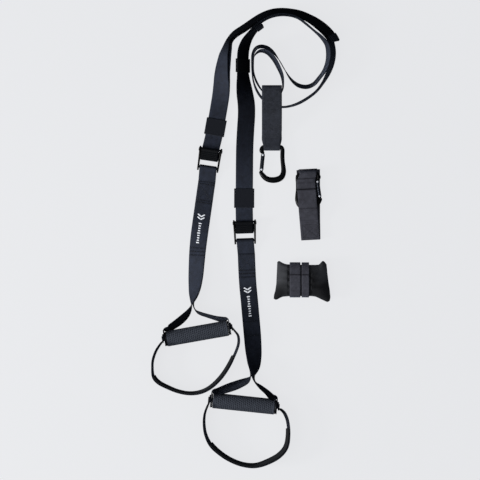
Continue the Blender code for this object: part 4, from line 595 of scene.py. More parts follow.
class Strip:
    """Stations of a strap: middle points, directions across and out of it, and its width there."""

    def __init__(self, points, across, out, width):
        self.points = np.asarray(points, float)
        self.across = np.asarray(across, float)
        self.out = np.asarray(out, float)
        self.widths = np.broadcast_to(np.asarray(width, float), (len(self.points),)).copy()

    @classmethod
    def along(cls, rows, width, step=FINE_STEP, closed=False):
        """Stations read from a smooth curve through rows of x, y, z and roll."""
        dense = smooth_rows(rows, step, closed)
        across, out = rolled_frames(dense[:, :3], dense[:, 3], closed)
        return cls(dense[:, :3], across, out, width)

    @classmethod
    def folded(cls, points, across, width):
        """Stations of a fold or an eye, whose width keeps one direction."""
        points = np.asarray(points, float)
        along = headings(points)
        across = np.broadcast_to(across, points.shape)
        return cls(points, across, units(np.cross(along, across)), width)

    def __add__(self, other):
        return Strip(np.concatenate([self.points, other.points]), np.concatenate([self.across, other.across]),
                     np.concatenate([self.out, other.out]), np.concatenate([self.widths, other.widths]))

    def part(self, first, last):
        """Stations from first up to last, without last."""
        span = slice(first, last)
        return Strip(self.points[span], self.across[span], self.out[span], self.widths[span])

    def back(self):
        """The same stations run the other way, with the same face out."""
        return Strip(self.points[::-1], -self.across[::-1], self.out[::-1], self.widths[::-1])

    def turned_over(self):
        """The same stations run the other way, with the other face out."""
        return Strip(self.points[::-1], self.across[::-1], -self.out[::-1], self.widths[::-1])

    def stood_off(self, distance):
        """The same stations, moved out along the strap's face."""
        distance = np.broadcast_to(np.asarray(distance, float), (len(self.points),))[:, None]
        return Strip(self.points + self.out * distance, self.across, self.out, self.widths)

    def nearest(self, place):
        """Index of the station nearest to a place in the drawing."""
        return int(np.argmin(np.linalg.norm(self.points[:, :2] - world(place)[:2], axis=1)))

    def way(self):
        """Metres of strap from its start to each station."""
        steps = np.linalg.norm(np.diff(self.points, axis=0), axis=1)
        return np.concatenate([[0.0], np.cumsum(steps)])

    def shares(self):
        """Share of the strap's way at each station."""
        way = self.way()
        return way / way[-1]

    def even(self, step=FINE_STEP):
        """The same strap with stations added where they lie further apart than a step."""
        way = self.way()
        marks = [0.0]
        for start, end in zip(way[:-1], way[1:]):
            pieces = max(1, int(math.ceil((end - start) / step - EVEN_SLACK)))
            marks += [start + (end - start) * (k + 1) / pieces for k in range(pieces)]

        def read(rows):
            return np.stack([np.interp(marks, way, rows[:, k]) for k in range(3)], axis=1)

        across, out = units(read(self.across)), read(self.out)
        out = units(out - across * np.sum(out * across, axis=1)[:, None])
        return Strip(read(self.points), across, out, np.interp(marks, way, self.widths))

    def spot(self, way, across, lift):
        """World point at metres along, metres across and metres out of the strap."""
        marks = self.way()
        at = [np.array([np.interp(way, marks, rows[:, k]) for k in range(3)]).T
              for rows in (self.points, self.across, self.out)]
        return at[0] + at[1] * np.asarray(across)[..., None] + at[2] * np.asarray(lift)[..., None]


def make(name, points, faces, material, uv=None, smooth=True, shade=None):
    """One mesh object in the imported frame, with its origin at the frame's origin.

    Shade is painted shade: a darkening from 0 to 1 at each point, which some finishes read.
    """
    mesh = bpy.data.meshes.new(name)
    mesh.from_pydata([tuple(p) for p in np.asarray(points).tolist()], [], [tuple(f) for f in faces])
    mesh.materials.append(material)
    if uv is not None:
        layer = mesh.uv_layers.new(name="web")
        corners = np.empty(len(mesh.loops), dtype=np.int32)
        mesh.loops.foreach_get("vertex_index", corners)
        layer.data.foreach_set("uv", np.asarray(uv, np.float32)[corners].ravel())
    if shade is not None:
        layer = mesh.attributes.new("shade", "FLOAT", "POINT")
        layer.data.foreach_set("value", np.asarray(shade, np.float32).ravel())
    mesh.polygons.foreach_set("use_smooth", [smooth] * len(mesh.polygons))
    mesh.update()
    item = bpy.data.objects.new(name, mesh)
    bpy.context.scene.collection.objects.link(item)
    return item


def tube_faces(rings, sides, closed=False):
    """Quads between rings of the same number of points, and the end caps of an open run."""
    faces = []
    for i in range(rings if closed else rings - 1):
        j = (i + 1) % rings
        for k in range(sides):
            m = (k + 1) % sides
            faces.append((i * sides + k, i * sides + m, j * sides + m, j * sides + k))
    if not closed:
        faces.append(tuple(range(sides))[::-1])
        faces.append(tuple(range((rings - 1) * sides, rings * sides)))
    return faces


def web_section(face_points=11, edge_points=3):
    """Section of webbing as shares of half its width and half its thickness, run from the low face.

    The faces are level; at each selvedge the edge is a half ellipse, one thickness deep.
    """
    spread = np.linspace(-1, 1, face_points)
    low = [(v, -1.0, 0.0) for v in spread]
    high = [(v, 1.0, 0.0) for v in spread[::-1]]
    turn = np.radians(np.linspace(-90, 90, edge_points + 2)[1:-1])
    right = [(1.0, math.sin(a), math.cos(a)) for a in turn]
    left = [(-1.0, math.sin(-a), math.cos(a)) for a in turn]
    return np.array(low + right + high + left)


def ribbon(name, strip, thick, material, closed=False, shade=None):
    """Webbing along a strip, with round selvedges and its weave's coordinates: metres along and across.

    A point is middle + across (s (w/2 - t/2) + e t/2) + out f t/2, with shares s, f and edge share e.
    """
    section = web_section()
    half_t = thick / 2
    flat = strip.widths[:, None] / 2 - half_t
    side = section[None, :, 0] * (flat + section[None, :, 2] * half_t)
    lift = np.broadcast_to(section[None, :, 1] * half_t, side.shape)
    rows = (strip.points[:, None, :] + strip.across[:, None, :] * side[..., None]
            + strip.out[:, None, :] * lift[..., None])
    way = strip.way()
    count, sides = side.shape
    uv = np.stack([np.broadcast_to(way[:, None], side.shape), side], axis=-1)
    points = rows.reshape(-1, 3)
    faces = tube_faces(count, sides, closed)
    if shade is not None:
        shade = np.broadcast_to(np.asarray(shade)[:, None], side.shape)
    return make(name, points, faces, material, uv.reshape(-1, 2), shade=shade)


def shading(strip, marks):
    """Painted shade at each station, from rows of x, y and shade met in order along the strap."""
    found, start = [], 0
    for x, y, shade in marks:
        gap = np.linalg.norm(strip.points[start:, :2] - world((x, y))[:2], axis=1)
        start += int(np.flatnonzero(gap < gap.min() + MARK_REACH)[0])
        found.append((start, shade))
    return np.interp(np.arange(len(strip.points)), *zip(*found))


def lathe(name, profile, middle, axis, side, sides, material):
    """A closed profile of rows (place along axis, radius) turned about the axis."""
    axis, side = unit(axis), unit(side)
    other = np.cross(axis, side)
    profile = np.asarray(profile, float)
    angles = 2 * math.pi * np.arange(sides) / sides
    rays = np.cos(angles)[:, None] * side + np.sin(angles)[:, None] * other
    points = middle + profile[None, :, :1] * axis + rays[:, None, :] * profile[None, :, 1:2]
    faces = tube_faces(sides, len(profile), closed=True)
    return make(name, points.reshape(-1, 3), faces, material)


def linear(hex_colour):
    """Linear colour of an sRGB colour written in hex."""
    digits = hex_colour.lstrip("#")
    parts = [int(digits[k:k + 2], 16) / 255 for k in (0, 2, 4)]
    return tuple(p / 12.92 if p <= 0.04045 else ((p + 0.055) / 1.055) ** 2.4 for p in parts) + (1.0,)


def add(tree, kind, inputs=None, **settings):
    """Adds a shader node. Its inputs are values, or sockets of other nodes to link."""
    made = tree.nodes.new("ShaderNode" + kind)
    for key, value in settings.items():
        setattr(made, key, value)
    for key, value in (inputs or {}).items():
        if isinstance(value, bpy.types.NodeSocket):
            tree.links.new(value, made.inputs[key])
        else:
            made.inputs[key].default_value = value
    return made


def calc(tree, operation, *values):
    """Result of a Math node."""
    return add(tree, "Math", dict(enumerate(values)), operation=operation).outputs[0]


def blend_colours(tree, share, low, high):
    """Colour between two hex colours by a share from 0 to 1."""
    mix = add(tree, "Mix", {0: share, 6: linear(low), 7: linear(high)}, data_type="RGBA")
    return mix.outputs[2]


def surface(name, **inputs):
    """A material, its tree and its Principled shader, whose sockets take the given constants."""
    made = bpy.data.materials.new(name)
    made.use_nodes = True
    tree = made.node_tree
    shader = tree.nodes["Principled BSDF"]
    for key, value in inputs.items():
        shader.inputs[key.replace("_", " ")].default_value = value
    return made, tree, shader


def bump(tree, shader, height, distance, strength=1.0, under=None):
    """Links a height to the shader's normal."""
    inputs = {"Height": height, "Distance": distance, "Strength": strength}
    if under is not None:
        inputs["Normal"] = under
    made = add(tree, "Bump", inputs)
    tree.links.new(made.outputs[0], shader.inputs["Normal"])
    return made.outputs[0]


def held_painted_shade(tree):
    """The painted shade that a mesh holds at its points."""
    return add(tree, "Attribute", attribute_name="shade").outputs["Fac"]


def shaded(tree, colour):
    """The colour, darkened towards deep black by the painted shade that the mesh holds."""
    mix = add(tree, "Mix", {0: held_painted_shade(tree), 6: colour, 7: linear("#020203")}, data_type="RGBA")
    return mix.outputs[2]


def web_place(tree):
    """Metres along and across a strap, from its mesh."""
    place = add(tree, "SeparateXYZ", {0: add(tree, "UVMap", uv_map="web").outputs[0]})
    return place.outputs[0], place.outputs[1]


def paint(tree, shader, colour):
    """Links a colour to the shader."""
    tree.links.new(colour, shader.inputs["Base Color"])


def waves(tree, place, pitch):
    """Sine of 2 pi place / pitch, from -1 to 1."""
    return calc(tree, "SINE", calc(tree, "MULTIPLY", place, 2 * math.pi / pitch))


def noise(tree, scale, detail=3.0, rough=0.5):
    """Noise from 0 to 1 over the object's own coordinates, with scale cells a metre."""
    where = add(tree, "TexCoord").outputs["Object"]
    made = add(tree, "TexNoise", {"Vector": where, "Scale": scale, "Detail": detail, "Roughness": rough})
    return made.outputs["Fac"]


# Sizes in the finishes, in metres: rib pitch, column width and relief of the webbing's weave; rib and loop of
# the elastic's knit; thread pitch of the pillow's cloth; rounding that shows on worn and on moulded edges
WEAVE_PITCH = 0.0017
WEAVE_COLUMN = 0.0024
WEAVE_RELIEF = 0.00022
KNIT_RIB = 0.0013
KNIT_LOOP = 0.0009
CANVAS_THREAD = 0.0012
WORN_EDGE = 0.0008
SOFT_EDGE = 0.0005


def woven_webbing(name, dark, light, sheen=0.35):
    """Nylon webbing: chevron columns of fine ribs, a thread's relief and a soft sheen at grazing light.

    The ribs are sin(2 pi (x + fold(y)) / pitch), with fold going to and fro over a column's width.
    Painted shade from the mesh darkens the colour and takes the sheen and shine away with it.
    """
    made, tree, shader = surface(name, Roughness=0.78, Sheen_Weight=sheen, Sheen_Roughness=0.35,
                                 Sheen_Tint=linear("#b9c6de"), Specular_IOR_Level=0.28)
    along, across = web_place(tree)
    shifted = calc(tree, "ADD", along, calc(tree, "PINGPONG", across, WEAVE_COLUMN))
    ribs = waves(tree, shifted, WEAVE_PITCH)
    threads = waves(tree, across, WEAVE_COLUMN / 4)
    weave = calc(tree, "MULTIPLY_ADD", ribs, 0.34, calc(tree, "MULTIPLY_ADD", threads, 0.12, 0.5))
    patches = calc(tree, "MULTIPLY_ADD", noise(tree, 110.0, 3.0, 0.55), 1.6, -0.3)
    share = calc(tree, "ADD", calc(tree, "MULTIPLY", weave, 0.45), calc(tree, "MULTIPLY", patches, 0.55))
    share = add(tree, "Clamp", {0: share}).outputs[0]
    paint(tree, shader, shaded(tree, blend_colours(tree, share, dark, light)))
    # painted shade also dims the sheen and the shine
    sheen_left_by_painted_shade = calc(tree, "MULTIPLY", calc(tree, "SUBTRACT", 1.0, held_painted_shade(tree)), sheen)
    tree.links.new(sheen_left_by_painted_shade, shader.inputs["Sheen Weight"])
    tree.links.new(calc(tree, "MULTIPLY", sheen_left_by_painted_shade, 0.22 / sheen), shader.inputs["Specular IOR Level"])
    fuzz = noise(tree, 4200.0, 2.0, 0.6)
    height = calc(tree, "ADD", weave, calc(tree, "MULTIPLY", fuzz, 0.5))
    bump(tree, shader, height, WEAVE_RELIEF, 0.9)
    rough = calc(tree, "MULTIPLY_ADD", patches, 0.16, 0.68)
    tree.links.new(rough, shader.inputs["Roughness"])
    return made


def knitted_elastic(name, dark, light):
    """Elastic band: close ribs round the strap and a matt, slightly fuzzy face, darkened by painted shade."""
    made, tree, shader = surface(name, Roughness=0.9, Sheen_Weight=0.25, Sheen_Roughness=0.4,
                                 Sheen_Tint=linear("#9aa3b4"), Specular_IOR_Level=0.2)
    along, across = web_place(tree)
    ribs, loops = waves(tree, along, KNIT_RIB), waves(tree, across, KNIT_LOOP)
    knit = calc(tree, "MULTIPLY_ADD", ribs, 0.36, calc(tree, "MULTIPLY_ADD", loops, 0.14, 0.5))
    paint(tree, shader, shaded(tree, blend_colours(tree, knit, dark, light)))
    # painted shade also dims the sheen
    tree.links.new(calc(tree, "MULTIPLY_ADD", held_painted_shade(tree), -0.25, 0.25), shader.inputs["Sheen Weight"])
    bump(tree, shader, calc(tree, "ADD", knit, calc(tree, "MULTIPLY", noise(tree, 3800.0), 0.4)), 0.0003)
    return made


def coated_metal(name, colour, worn, roughness, metallic, grain=900.0, relief=0.00004, mirror=0.5):
    """Coated metal: fine grain, softened edges, and edges worn a little lighter."""
    made, tree, shader = surface(name, Metallic=metallic, Specular_IOR_Level=mirror)
    soft = add(tree, "Bevel", {"Radius": WORN_EDGE}, samples=6).outputs[0]
    flat = add(tree, "NewGeometry").outputs["Normal"]
    turned = add(tree, "VectorMath", {0: soft, 1: flat}, operation="DOT_PRODUCT").outputs["Value"]
    wear = calc(tree, "MULTIPLY", calc(tree, "SUBTRACT", 1.0, turned), 2.4)
    scuffs = calc(tree, "MULTIPLY_ADD", noise(tree, 320.0, 6.0, 0.7), 1.6, -0.55)
    share = calc(tree, "MULTIPLY", wear, scuffs)
    share = add(tree, "Clamp", {0: share}).outputs[0]
    paint(tree, shader, blend_colours(tree, share, colour, worn))
    fine = noise(tree, grain, 3.0, 0.55)
    tree.links.new(calc(tree, "MULTIPLY_ADD", fine, 0.2, roughness - 0.1), shader.inputs["Roughness"])
    bump(tree, shader, fine, relief, 1.0, under=soft)
    return made


def foam_rubber(name, dark, light):
    """Closed-cell foam: tiny open cells over the moulded dimples, dull and slightly dusty, with painted shade in
    the dimples.
    """
    made, tree, shader = surface(name, Roughness=0.86, Sheen_Weight=0.04, Sheen_Roughness=0.5,
                                 Sheen_Tint=linear("#aab2c2"), Specular_IOR_Level=0.3)
    where = add(tree, "TexCoord").outputs["Object"]
    cells = add(tree, "TexVoronoi", {"Vector": where, "Scale": 2600.0}).outputs["Distance"]
    dust = noise(tree, 140.0, 5.0, 0.6)
    share = calc(tree, "ADD", calc(tree, "MULTIPLY", dust, 0.75), calc(tree, "MULTIPLY", cells, 0.3))
    paint(tree, shader, shaded(tree, blend_colours(tree, share, dark, light)))
    bump(tree, shader, cells, 0.00012, 0.8)
    return made


def knit_face(name, dark, light, cell):
    """Neoprene under a smooth jersey face: a fine even grain, soft sheen."""
    made, tree, shader = surface(name, Roughness=0.82, Sheen_Weight=0.05, Sheen_Roughness=0.4,
                                 Sheen_Tint=linear("#a8b0c0"), Specular_IOR_Level=0.25)
    where = add(tree, "TexCoord").outputs["Object"]
    grain = add(tree, "TexVoronoi", {"Vector": where, "Scale": 1.0 / cell}).outputs["Distance"]
    patches = noise(tree, 60.0, 4.0, 0.6)
    share = calc(tree, "MULTIPLY_ADD", grain, 0.35, calc(tree, "MULTIPLY", patches, 0.6))
    paint(tree, shader, blend_colours(tree, share, dark, light))
    bump(tree, shader, grain, 0.00014, 0.7)
    return made


def canvas(name, dark, light):
    """Plain-woven cloth of the door pillow: crossing threads from two directions."""
    made, tree, shader = surface(name, Roughness=0.9, Sheen_Weight=0.22, Sheen_Roughness=0.45,
                                 Sheen_Tint=linear("#b0b6c2"), Specular_IOR_Level=0.2)
    place = add(tree, "SeparateXYZ", {0: add(tree, "TexCoord").outputs["Object"]})
    warp = waves(tree, place.outputs[0], CANVAS_THREAD)
    weft = waves(tree, place.outputs[1], CANVAS_THREAD)
    weave = calc(tree, "MULTIPLY_ADD", calc(tree, "MULTIPLY", warp, weft), 0.4, 0.5)
    patches = noise(tree, 45.0, 5.0, 0.62)
    share = calc(tree, "MULTIPLY_ADD", weave, 0.4, calc(tree, "MULTIPLY", patches, 0.6))
    # painted shade from the mesh darkens the cloth
    paint(tree, shader, shaded(tree, blend_colours(tree, share, dark, light)))
    fuzz = noise(tree, 3000.0, 2.0, 0.6)
    bump(tree, shader, calc(tree, "ADD", weave, calc(tree, "MULTIPLY", fuzz, 0.5)), 0.00022, 0.8)
    return made


def plain_finish(name, dark, light, roughness, scale, relief):
    """Moulded plastic, thread or ink: two close tones, a fine grain and softened edges."""
    made, tree, shader = surface(name)
    grain = noise(tree, scale, 4.0, 0.6)
    paint(tree, shader, blend_colours(tree, grain, dark, light))
    tree.links.new(calc(tree, "MULTIPLY_ADD", grain, 0.18, roughness - 0.09), shader.inputs["Roughness"])
    soft = add(tree, "Bevel", {"Radius": SOFT_EDGE}, samples=4).outputs[0]
    bump(tree, shader, grain, relief, 1.0, under=soft)
    return made


# Finishes. Each comment says what the material gives the eye.
FINISH = {
    # black-blue strap webbing, grey-blue where it turns to the light
    "webbing": woven_webbing("nylon_webbing", "#0c0f16", "#303645"),
    # the folded extension strap, a little greyer
    "extension": woven_webbing("polyester_webbing", "#1c1c21", "#4f4f58"),
    # the stiff anchor tab, charcoal
    "tab": woven_webbing("tab_webbing", "#15171c", "#383b44", sheen=0.3),
    # the keepers, matt ribbed black
    "keeper_elastic": knitted_elastic("keeper_elastic", "#0d0f14", "#1d2028"),
    # buckle frames and bars, deep black with soft grey lights on their edges
    "coated_steel": coated_metal("black_coated_steel", "#040506", "#101216", 0.40, 0.0, mirror=0.15),
    # pins and springs, bare pale metal
    "bright_steel": coated_metal("bright_steel", "#c9cbd0", "#e6e8ec", 0.24, 1.0, relief=0.00002),
    # the cam levers, cast and dull black with a blue cast
    "cam_zinc": coated_metal("cast_cam", "#080a0e", "#171b22", 0.44, 0.0, grain=1400.0,
                             relief=0.00008, mirror=0.18),
    # the carabiners' bars, black with one thin streak of light
    "anodised": coated_metal("black_anodised", "#050608", "#17191d", 0.36, 0.0, grain=1200.0,
                             relief=0.00002, mirror=0.14),
    # the rivets' domed heads, painted near white for their bright metal glint, the lightest points on a
    # carabiner
    "rivet_painted_glint": coated_metal("rivet_painted_glint", "#dcdee2", "#f2f3f5", 0.35, 0.0, relief=0.00002),
    # the carabiners' gates, polished black with a bright streak along them
    "gate_polish": coated_metal("polished_gate", "#3c4048", "#70757f", 0.26, 0.9, grain=1200.0,
                                relief=0.00001),
    # the grips' sleeves, dusty dark grey with painted shade in their dimples
    "foam": foam_rubber("closed_cell_foam", "#1f2229", "#454a54"),
    # the grips' end caps and the core's heads, satin near-black
    "cap_plastic": plain_finish("cap_plastic", "#15161a", "#24262b", 0.42, 600.0, 0.00004),
    # the cradles' pads, flat black
    "pad_neoprene": knit_face("pad_neoprene", "#08090b", "#15171b", 0.0011),
    # the door pillow, faded charcoal cloth
    "pillow_cloth": canvas("pillow_canvas", "#242528", "#454649"),
    # stitches, a shade off the webbing's black
    "thread": plain_finish("bonded_thread", "#0c0e12", "#1c1f26", 0.5, 2500.0, 0.00006),
    # the handles' printed marks, flat white
    "ink": plain_finish("white_ink", "#d5d8dd", "#f0f2f5", 0.6, 700.0, 0.00002),
}


def place_piece(item, body, finish, *nodes):
    """The piece rides on a body and replaces CAD nodes; its finish is not used."""
    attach(item, body)
    if nodes:
        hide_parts(*nodes)


def web(name, strip, body, node, marks, thick=WEB_THICK, lines=()):
    """A strap of webbing.

    Its painted shade comes from marks. At lines, the places of stitch rows, painted shade in their grooves rises
    by shade exp(-(d / reach)^2), with d the distance along the strap.
    """
    shade = shading(strip, marks)
    way = strip.way()
    for place in lines:
        away = (way - way[strip.nearest(place)]) / SEAM_LINE_REACH
        shade = np.maximum(shade, SEAM_LINE_SHADE * np.exp(-away ** 2))
    item = ribbon(name, strip, thick, FINISH["webbing"], shade=shade)
    place_piece(item, body, "webbing", node)


class Buckle:
    """Axes, levels and places of one cam buckle, as in the part's source."""

    def __init__(self, side):
        place = BUCKLES[side]
        lean = math.radians(place["lean"])
        self.down = np.array([math.sin(lean), -math.cos(lean), 0.0])
        self.right = np.array([math.cos(lean), math.sin(lean), 0.0])
        self.head = world(place["middle"]) - self.down * BUCKLE_LENGTH / 2
        self.plate_end = PLATE_START + PLATE_LENGTH
        self.strap_level = KEEPER_LIFT + WEB_THICK / 2
        self.plate_level = KEEPER_LIFT + WEB_THICK + SEAT_GAP
        self.tail_level = self.plate_level + PLATE_THICK + SEAT_GAP + WEB_THICK / 2
        self.bar_level = SEAT_GAP + WEB_THICK + SEAT_GAP + BAR_RADIUS
        self.bar_place = BUCKLE_LENGTH - BAR_FROM_END
        self.pin_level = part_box(side + "_cam_pin")[0][2] / 2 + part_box(side + "_cam_pin")[1][2] / 2 - SHIFT[2]

    def at(self, along, height, across=0.0):
        """World point from places along and across the buckle, and a height."""
        return self.head + self.down * along + self.right * across + UP * height

    def fold(self):
        """Main webbing from its end under the cam, round the plate's lower edge and back under it."""
        middle = self.at(self.plate_end, (self.strap_level + self.tail_level) / 2)
        radius = (self.tail_level - self.strap_level) / 2
        points = [self.at(self.plate_end - PLATE_LENGTH / 2, self.tail_level)]
        points += fold_points(middle, self.down, radius, 90, -90)
        points += [self.at(PLATE_START, self.strap_level)]
        return points


def build_main_strap(buckles):
    """Main webbing from cam to cam, as one strap."""
    left, right = buckles["left"], buckles["right"]
    dense = Strip.along(seated(LEFT_STRAP + LOOP_STRAP + RIGHT_STRAP), WEB_WIDTH)
    start = Strip.folded(left.fold(), -left.right, WEB_WIDTH)
    last = Strip.folded(right.fold()[::-1], right.right, WEB_WIDTH)
    web("strap_main", (start + dense + last).even(), "straps", "main_webbing", MAIN_SHADES)
    return dense


def build_tail(side, buckle, dense, last, stands):
    """The strap's free tail that lies on it, and the sewn fold over its end."""
    if side == "left":
        carried = dense.part(0, dense.nearest(last) + 1)
    else:
        carried = dense.part(dense.nearest(last), len(dense.points)).back()
    stand = np.interp(carried.shares(), *zip(*stands)) * MM
    butt = buckle.plate_end - PLATE_LENGTH / 2 - SEAT_GAP
    lead = Strip.folded([buckle.at(butt, buckle.tail_level),
                         buckle.at(PLATE_START - PLATE_THICK, buckle.tail_level)], -buckle.right, WEB_WIDTH)
    tail = (lead + carried.stood_off(LAYER_PITCH + stand)).even()
    shares, length = tail.shares(), tail.way()[-1]
    first = int(np.argmin(abs(shares - (1 - END_TAB_LENGTH / length))))
    covered = tail.part(first, len(tail.points))
    end, across, out = covered.points[-1], covered.across[-1], covered.out[-1]
    along = np.cross(across, out)
    turn = [end + along * SEAT_GAP + LAYER_PITCH * (math.sin(a) * along + math.cos(a) * out)
            for a in np.radians(np.linspace(0, 180, FOLD_STEPS + 1))]
    turn = Strip.folded(turn, across, WEB_WIDTH)
    low = covered.stood_off(-LAYER_PITCH).turned_over()
    top = covered.stood_off(LAYER_PITCH)
    folded = (top + turn + low).even(TAIL_FOLD_STEP)
    tab = ribbon(side + "_tail_fold", folded, WEB_THICK, FINISH["webbing"],
                 shade=np.full(len(folded.points), TAIL_FOLD_SHADE))
    place_piece(tab, "straps", "webbing", side + "_end_tab")
    rows = [row_across(top, way, WEB_THICK / 2) for way in TAIL_FOLD_SEAMS]
    seams = sew(side + "_tail_fold_seam", "straps", rows)
    web(side + "_strap_tail", tail, "straps", side + "_tail_webbing", TAIL_SHADES[side])


def run(strip, corners, lift):
    """Stitches along straight lines between corners, given as metres along and across a strip."""
    out = []
    for (s0, v0), (s1, v1) in zip(corners[:-1], corners[1:]):
        length = math.hypot(s1 - s0, v1 - v0)
        count = max(1, int(round(length / STITCH_PITCH)))
        marks = np.linspace(0, 1, count + 1)
        starts, ends = marks[:-1] + STITCH_GAP_SHARE / count, marks[1:] - STITCH_GAP_SHARE / count
        for a, b in zip(starts, ends):
            at = np.linspace(a, b, STITCH_RINGS)
            points = strip.spot(s0 + (s1 - s0) * at, v0 + (v1 - v0) * at, np.full(STITCH_RINGS, lift))
            lean = strip.spot(s0 + (s1 - s0) * at[2], v0 + (v1 - v0) * at[2], lift + 0.001) - points[2]
            out.append((points, unit(lean)))
    return out


def row_across(strip, way, lift):
    """Row of stitches straight across a strip, at metres along it."""
    return run(strip, [(way, -SEAM_HALF), (way, SEAM_HALF)], lift)


def sew(name, body, runs, radius=STITCH_RADIUS):
    """Stitches as one piece: each is a spindle, thickest in its middle, half sunk in the webbing.

    A ring point is p + r sqrt(1 - taper t^2) (cos(a) side + flat sin(a) up), with t from -1 to 1 along it.
    """
    points, faces = [], []
    swell = np.sqrt(1 - STITCH_TAPER * np.linspace(-1, 1, STITCH_RINGS) ** 2)
    for stitches in runs:
        for line, up in stitches:
            along = unit(line[-1] - line[0])
            side = np.cross(along, up)
            base = len(points)
            for place, wide in zip(line, swell):
                for k in range(STITCH_SIDES):
                    a = 2 * math.pi * k / STITCH_SIDES
                    ray = math.cos(a) * side + STITCH_FLAT * math.sin(a) * up
                    points.append(place + radius * wide * ray)
            faces += [tuple(base + f for f in face) for face in tube_faces(STITCH_RINGS, STITCH_SIDES)]
    item = make(name, points, faces, FINISH["thread"])
    place_piece(item, body, "thread")
    return item


def box_cross(strip, start, end, half, lift):
    """Box of stitches with a cross in it."""
    ring = [(start, -half), (end, -half), (end, half), (start, half), (start, -half)]
    cross = [[(start, -half), (end, half)], [(start, half), (end, -half)]]
    return [run(strip, corners, lift) for corners in [ring] + cross]


def bars(name, body, strip, lines, lift):
    """Printed bars: rows of way, across, way, across and width, each a low rounded ridge.

    A ring point is p + w/2 sgn(cos a) |cos a|^0.4 side + h sin(a) up.
    """
    points, faces = [], []
    for s0, v0, s1, v1, width in lines:
        at = np.linspace(0, 1, BAR_RINGS)
        ways, sides = s0 + (s1 - s0) * at, v0 + (v1 - v0) * at
        line = strip.spot(ways, sides, np.full(BAR_RINGS, lift))
        above = strip.spot(ways, sides, np.full(BAR_RINGS, lift + MM)) - line
        along = unit(line[-1] - line[0])
        base = len(points)
        for place, up in zip(line, above):
            up = unit(up)
            side = unit(np.cross(along, up))
            for k in range(BAR_SIDES):
                a = 2 * math.pi * k / BAR_SIDES
                u = math.copysign(abs(math.cos(a)) ** 0.4, math.cos(a))
                points.append(place + width / 2 * u * side + INK_THICK * math.sin(a) * up)
        faces += [tuple(base + f for f in face) for face in tube_faces(BAR_RINGS, BAR_SIDES)]
    item = make(name, points, faces, FINISH["ink"])
    place_piece(item, body, "ink")
    return item


def label(side, fine, lift):
    """Generic white marks in the place of the handle's print: two arrow heads and a row of gauge lines."""
    start = fine.way()[fine.nearest(LABEL_PLACES[side])]
    lines = []
    for k in range(2):
        s = start - k * ARROW_PITCH
        lines += [(s, LABEL_SIDE + v, s - ARROW_DEPTH, LABEL_SIDE, MARK_WIDTH)
                  for v in (-ARROW_HALF, ARROW_HALF)]
    for k in range(GAUGE_COUNT):
        half = GAUGE_LONG_HALF if k % 4 == 0 else GAUGE_SHORT_HALF
        s = start - GAUGE_START - k * GAUGE_PITCH
        lines.append((s, LABEL_SIDE - half, s, LABEL_SIDE + half, MARK_WIDTH))
    return bars(side + "_handle_marks", side + "_handle", fine, lines, lift)


def handle_details(side, fine, lift):
    """Box of stitches under the buckle, rows of bar tacks, and the printed marks of one handle strap."""
    way = fine.way()

    def at(place):
        return way[fine.nearest(place)]

    table = HANDLE_SEAMS[side]
    start, end = at(table["box"][0]), at(table["box"][1])
    runs = box_cross(fine, start, end, BOX_HALF, lift)
    runs += [row_across(fine, at(place), lift) for place in table["lines"]]
    seams = sew(side + "_handle_seams", side + "_handle", runs, radius=HANDLE_STITCH_RADIUS)
    return [seams, label(side, fine, lift + INK_LIFT)]


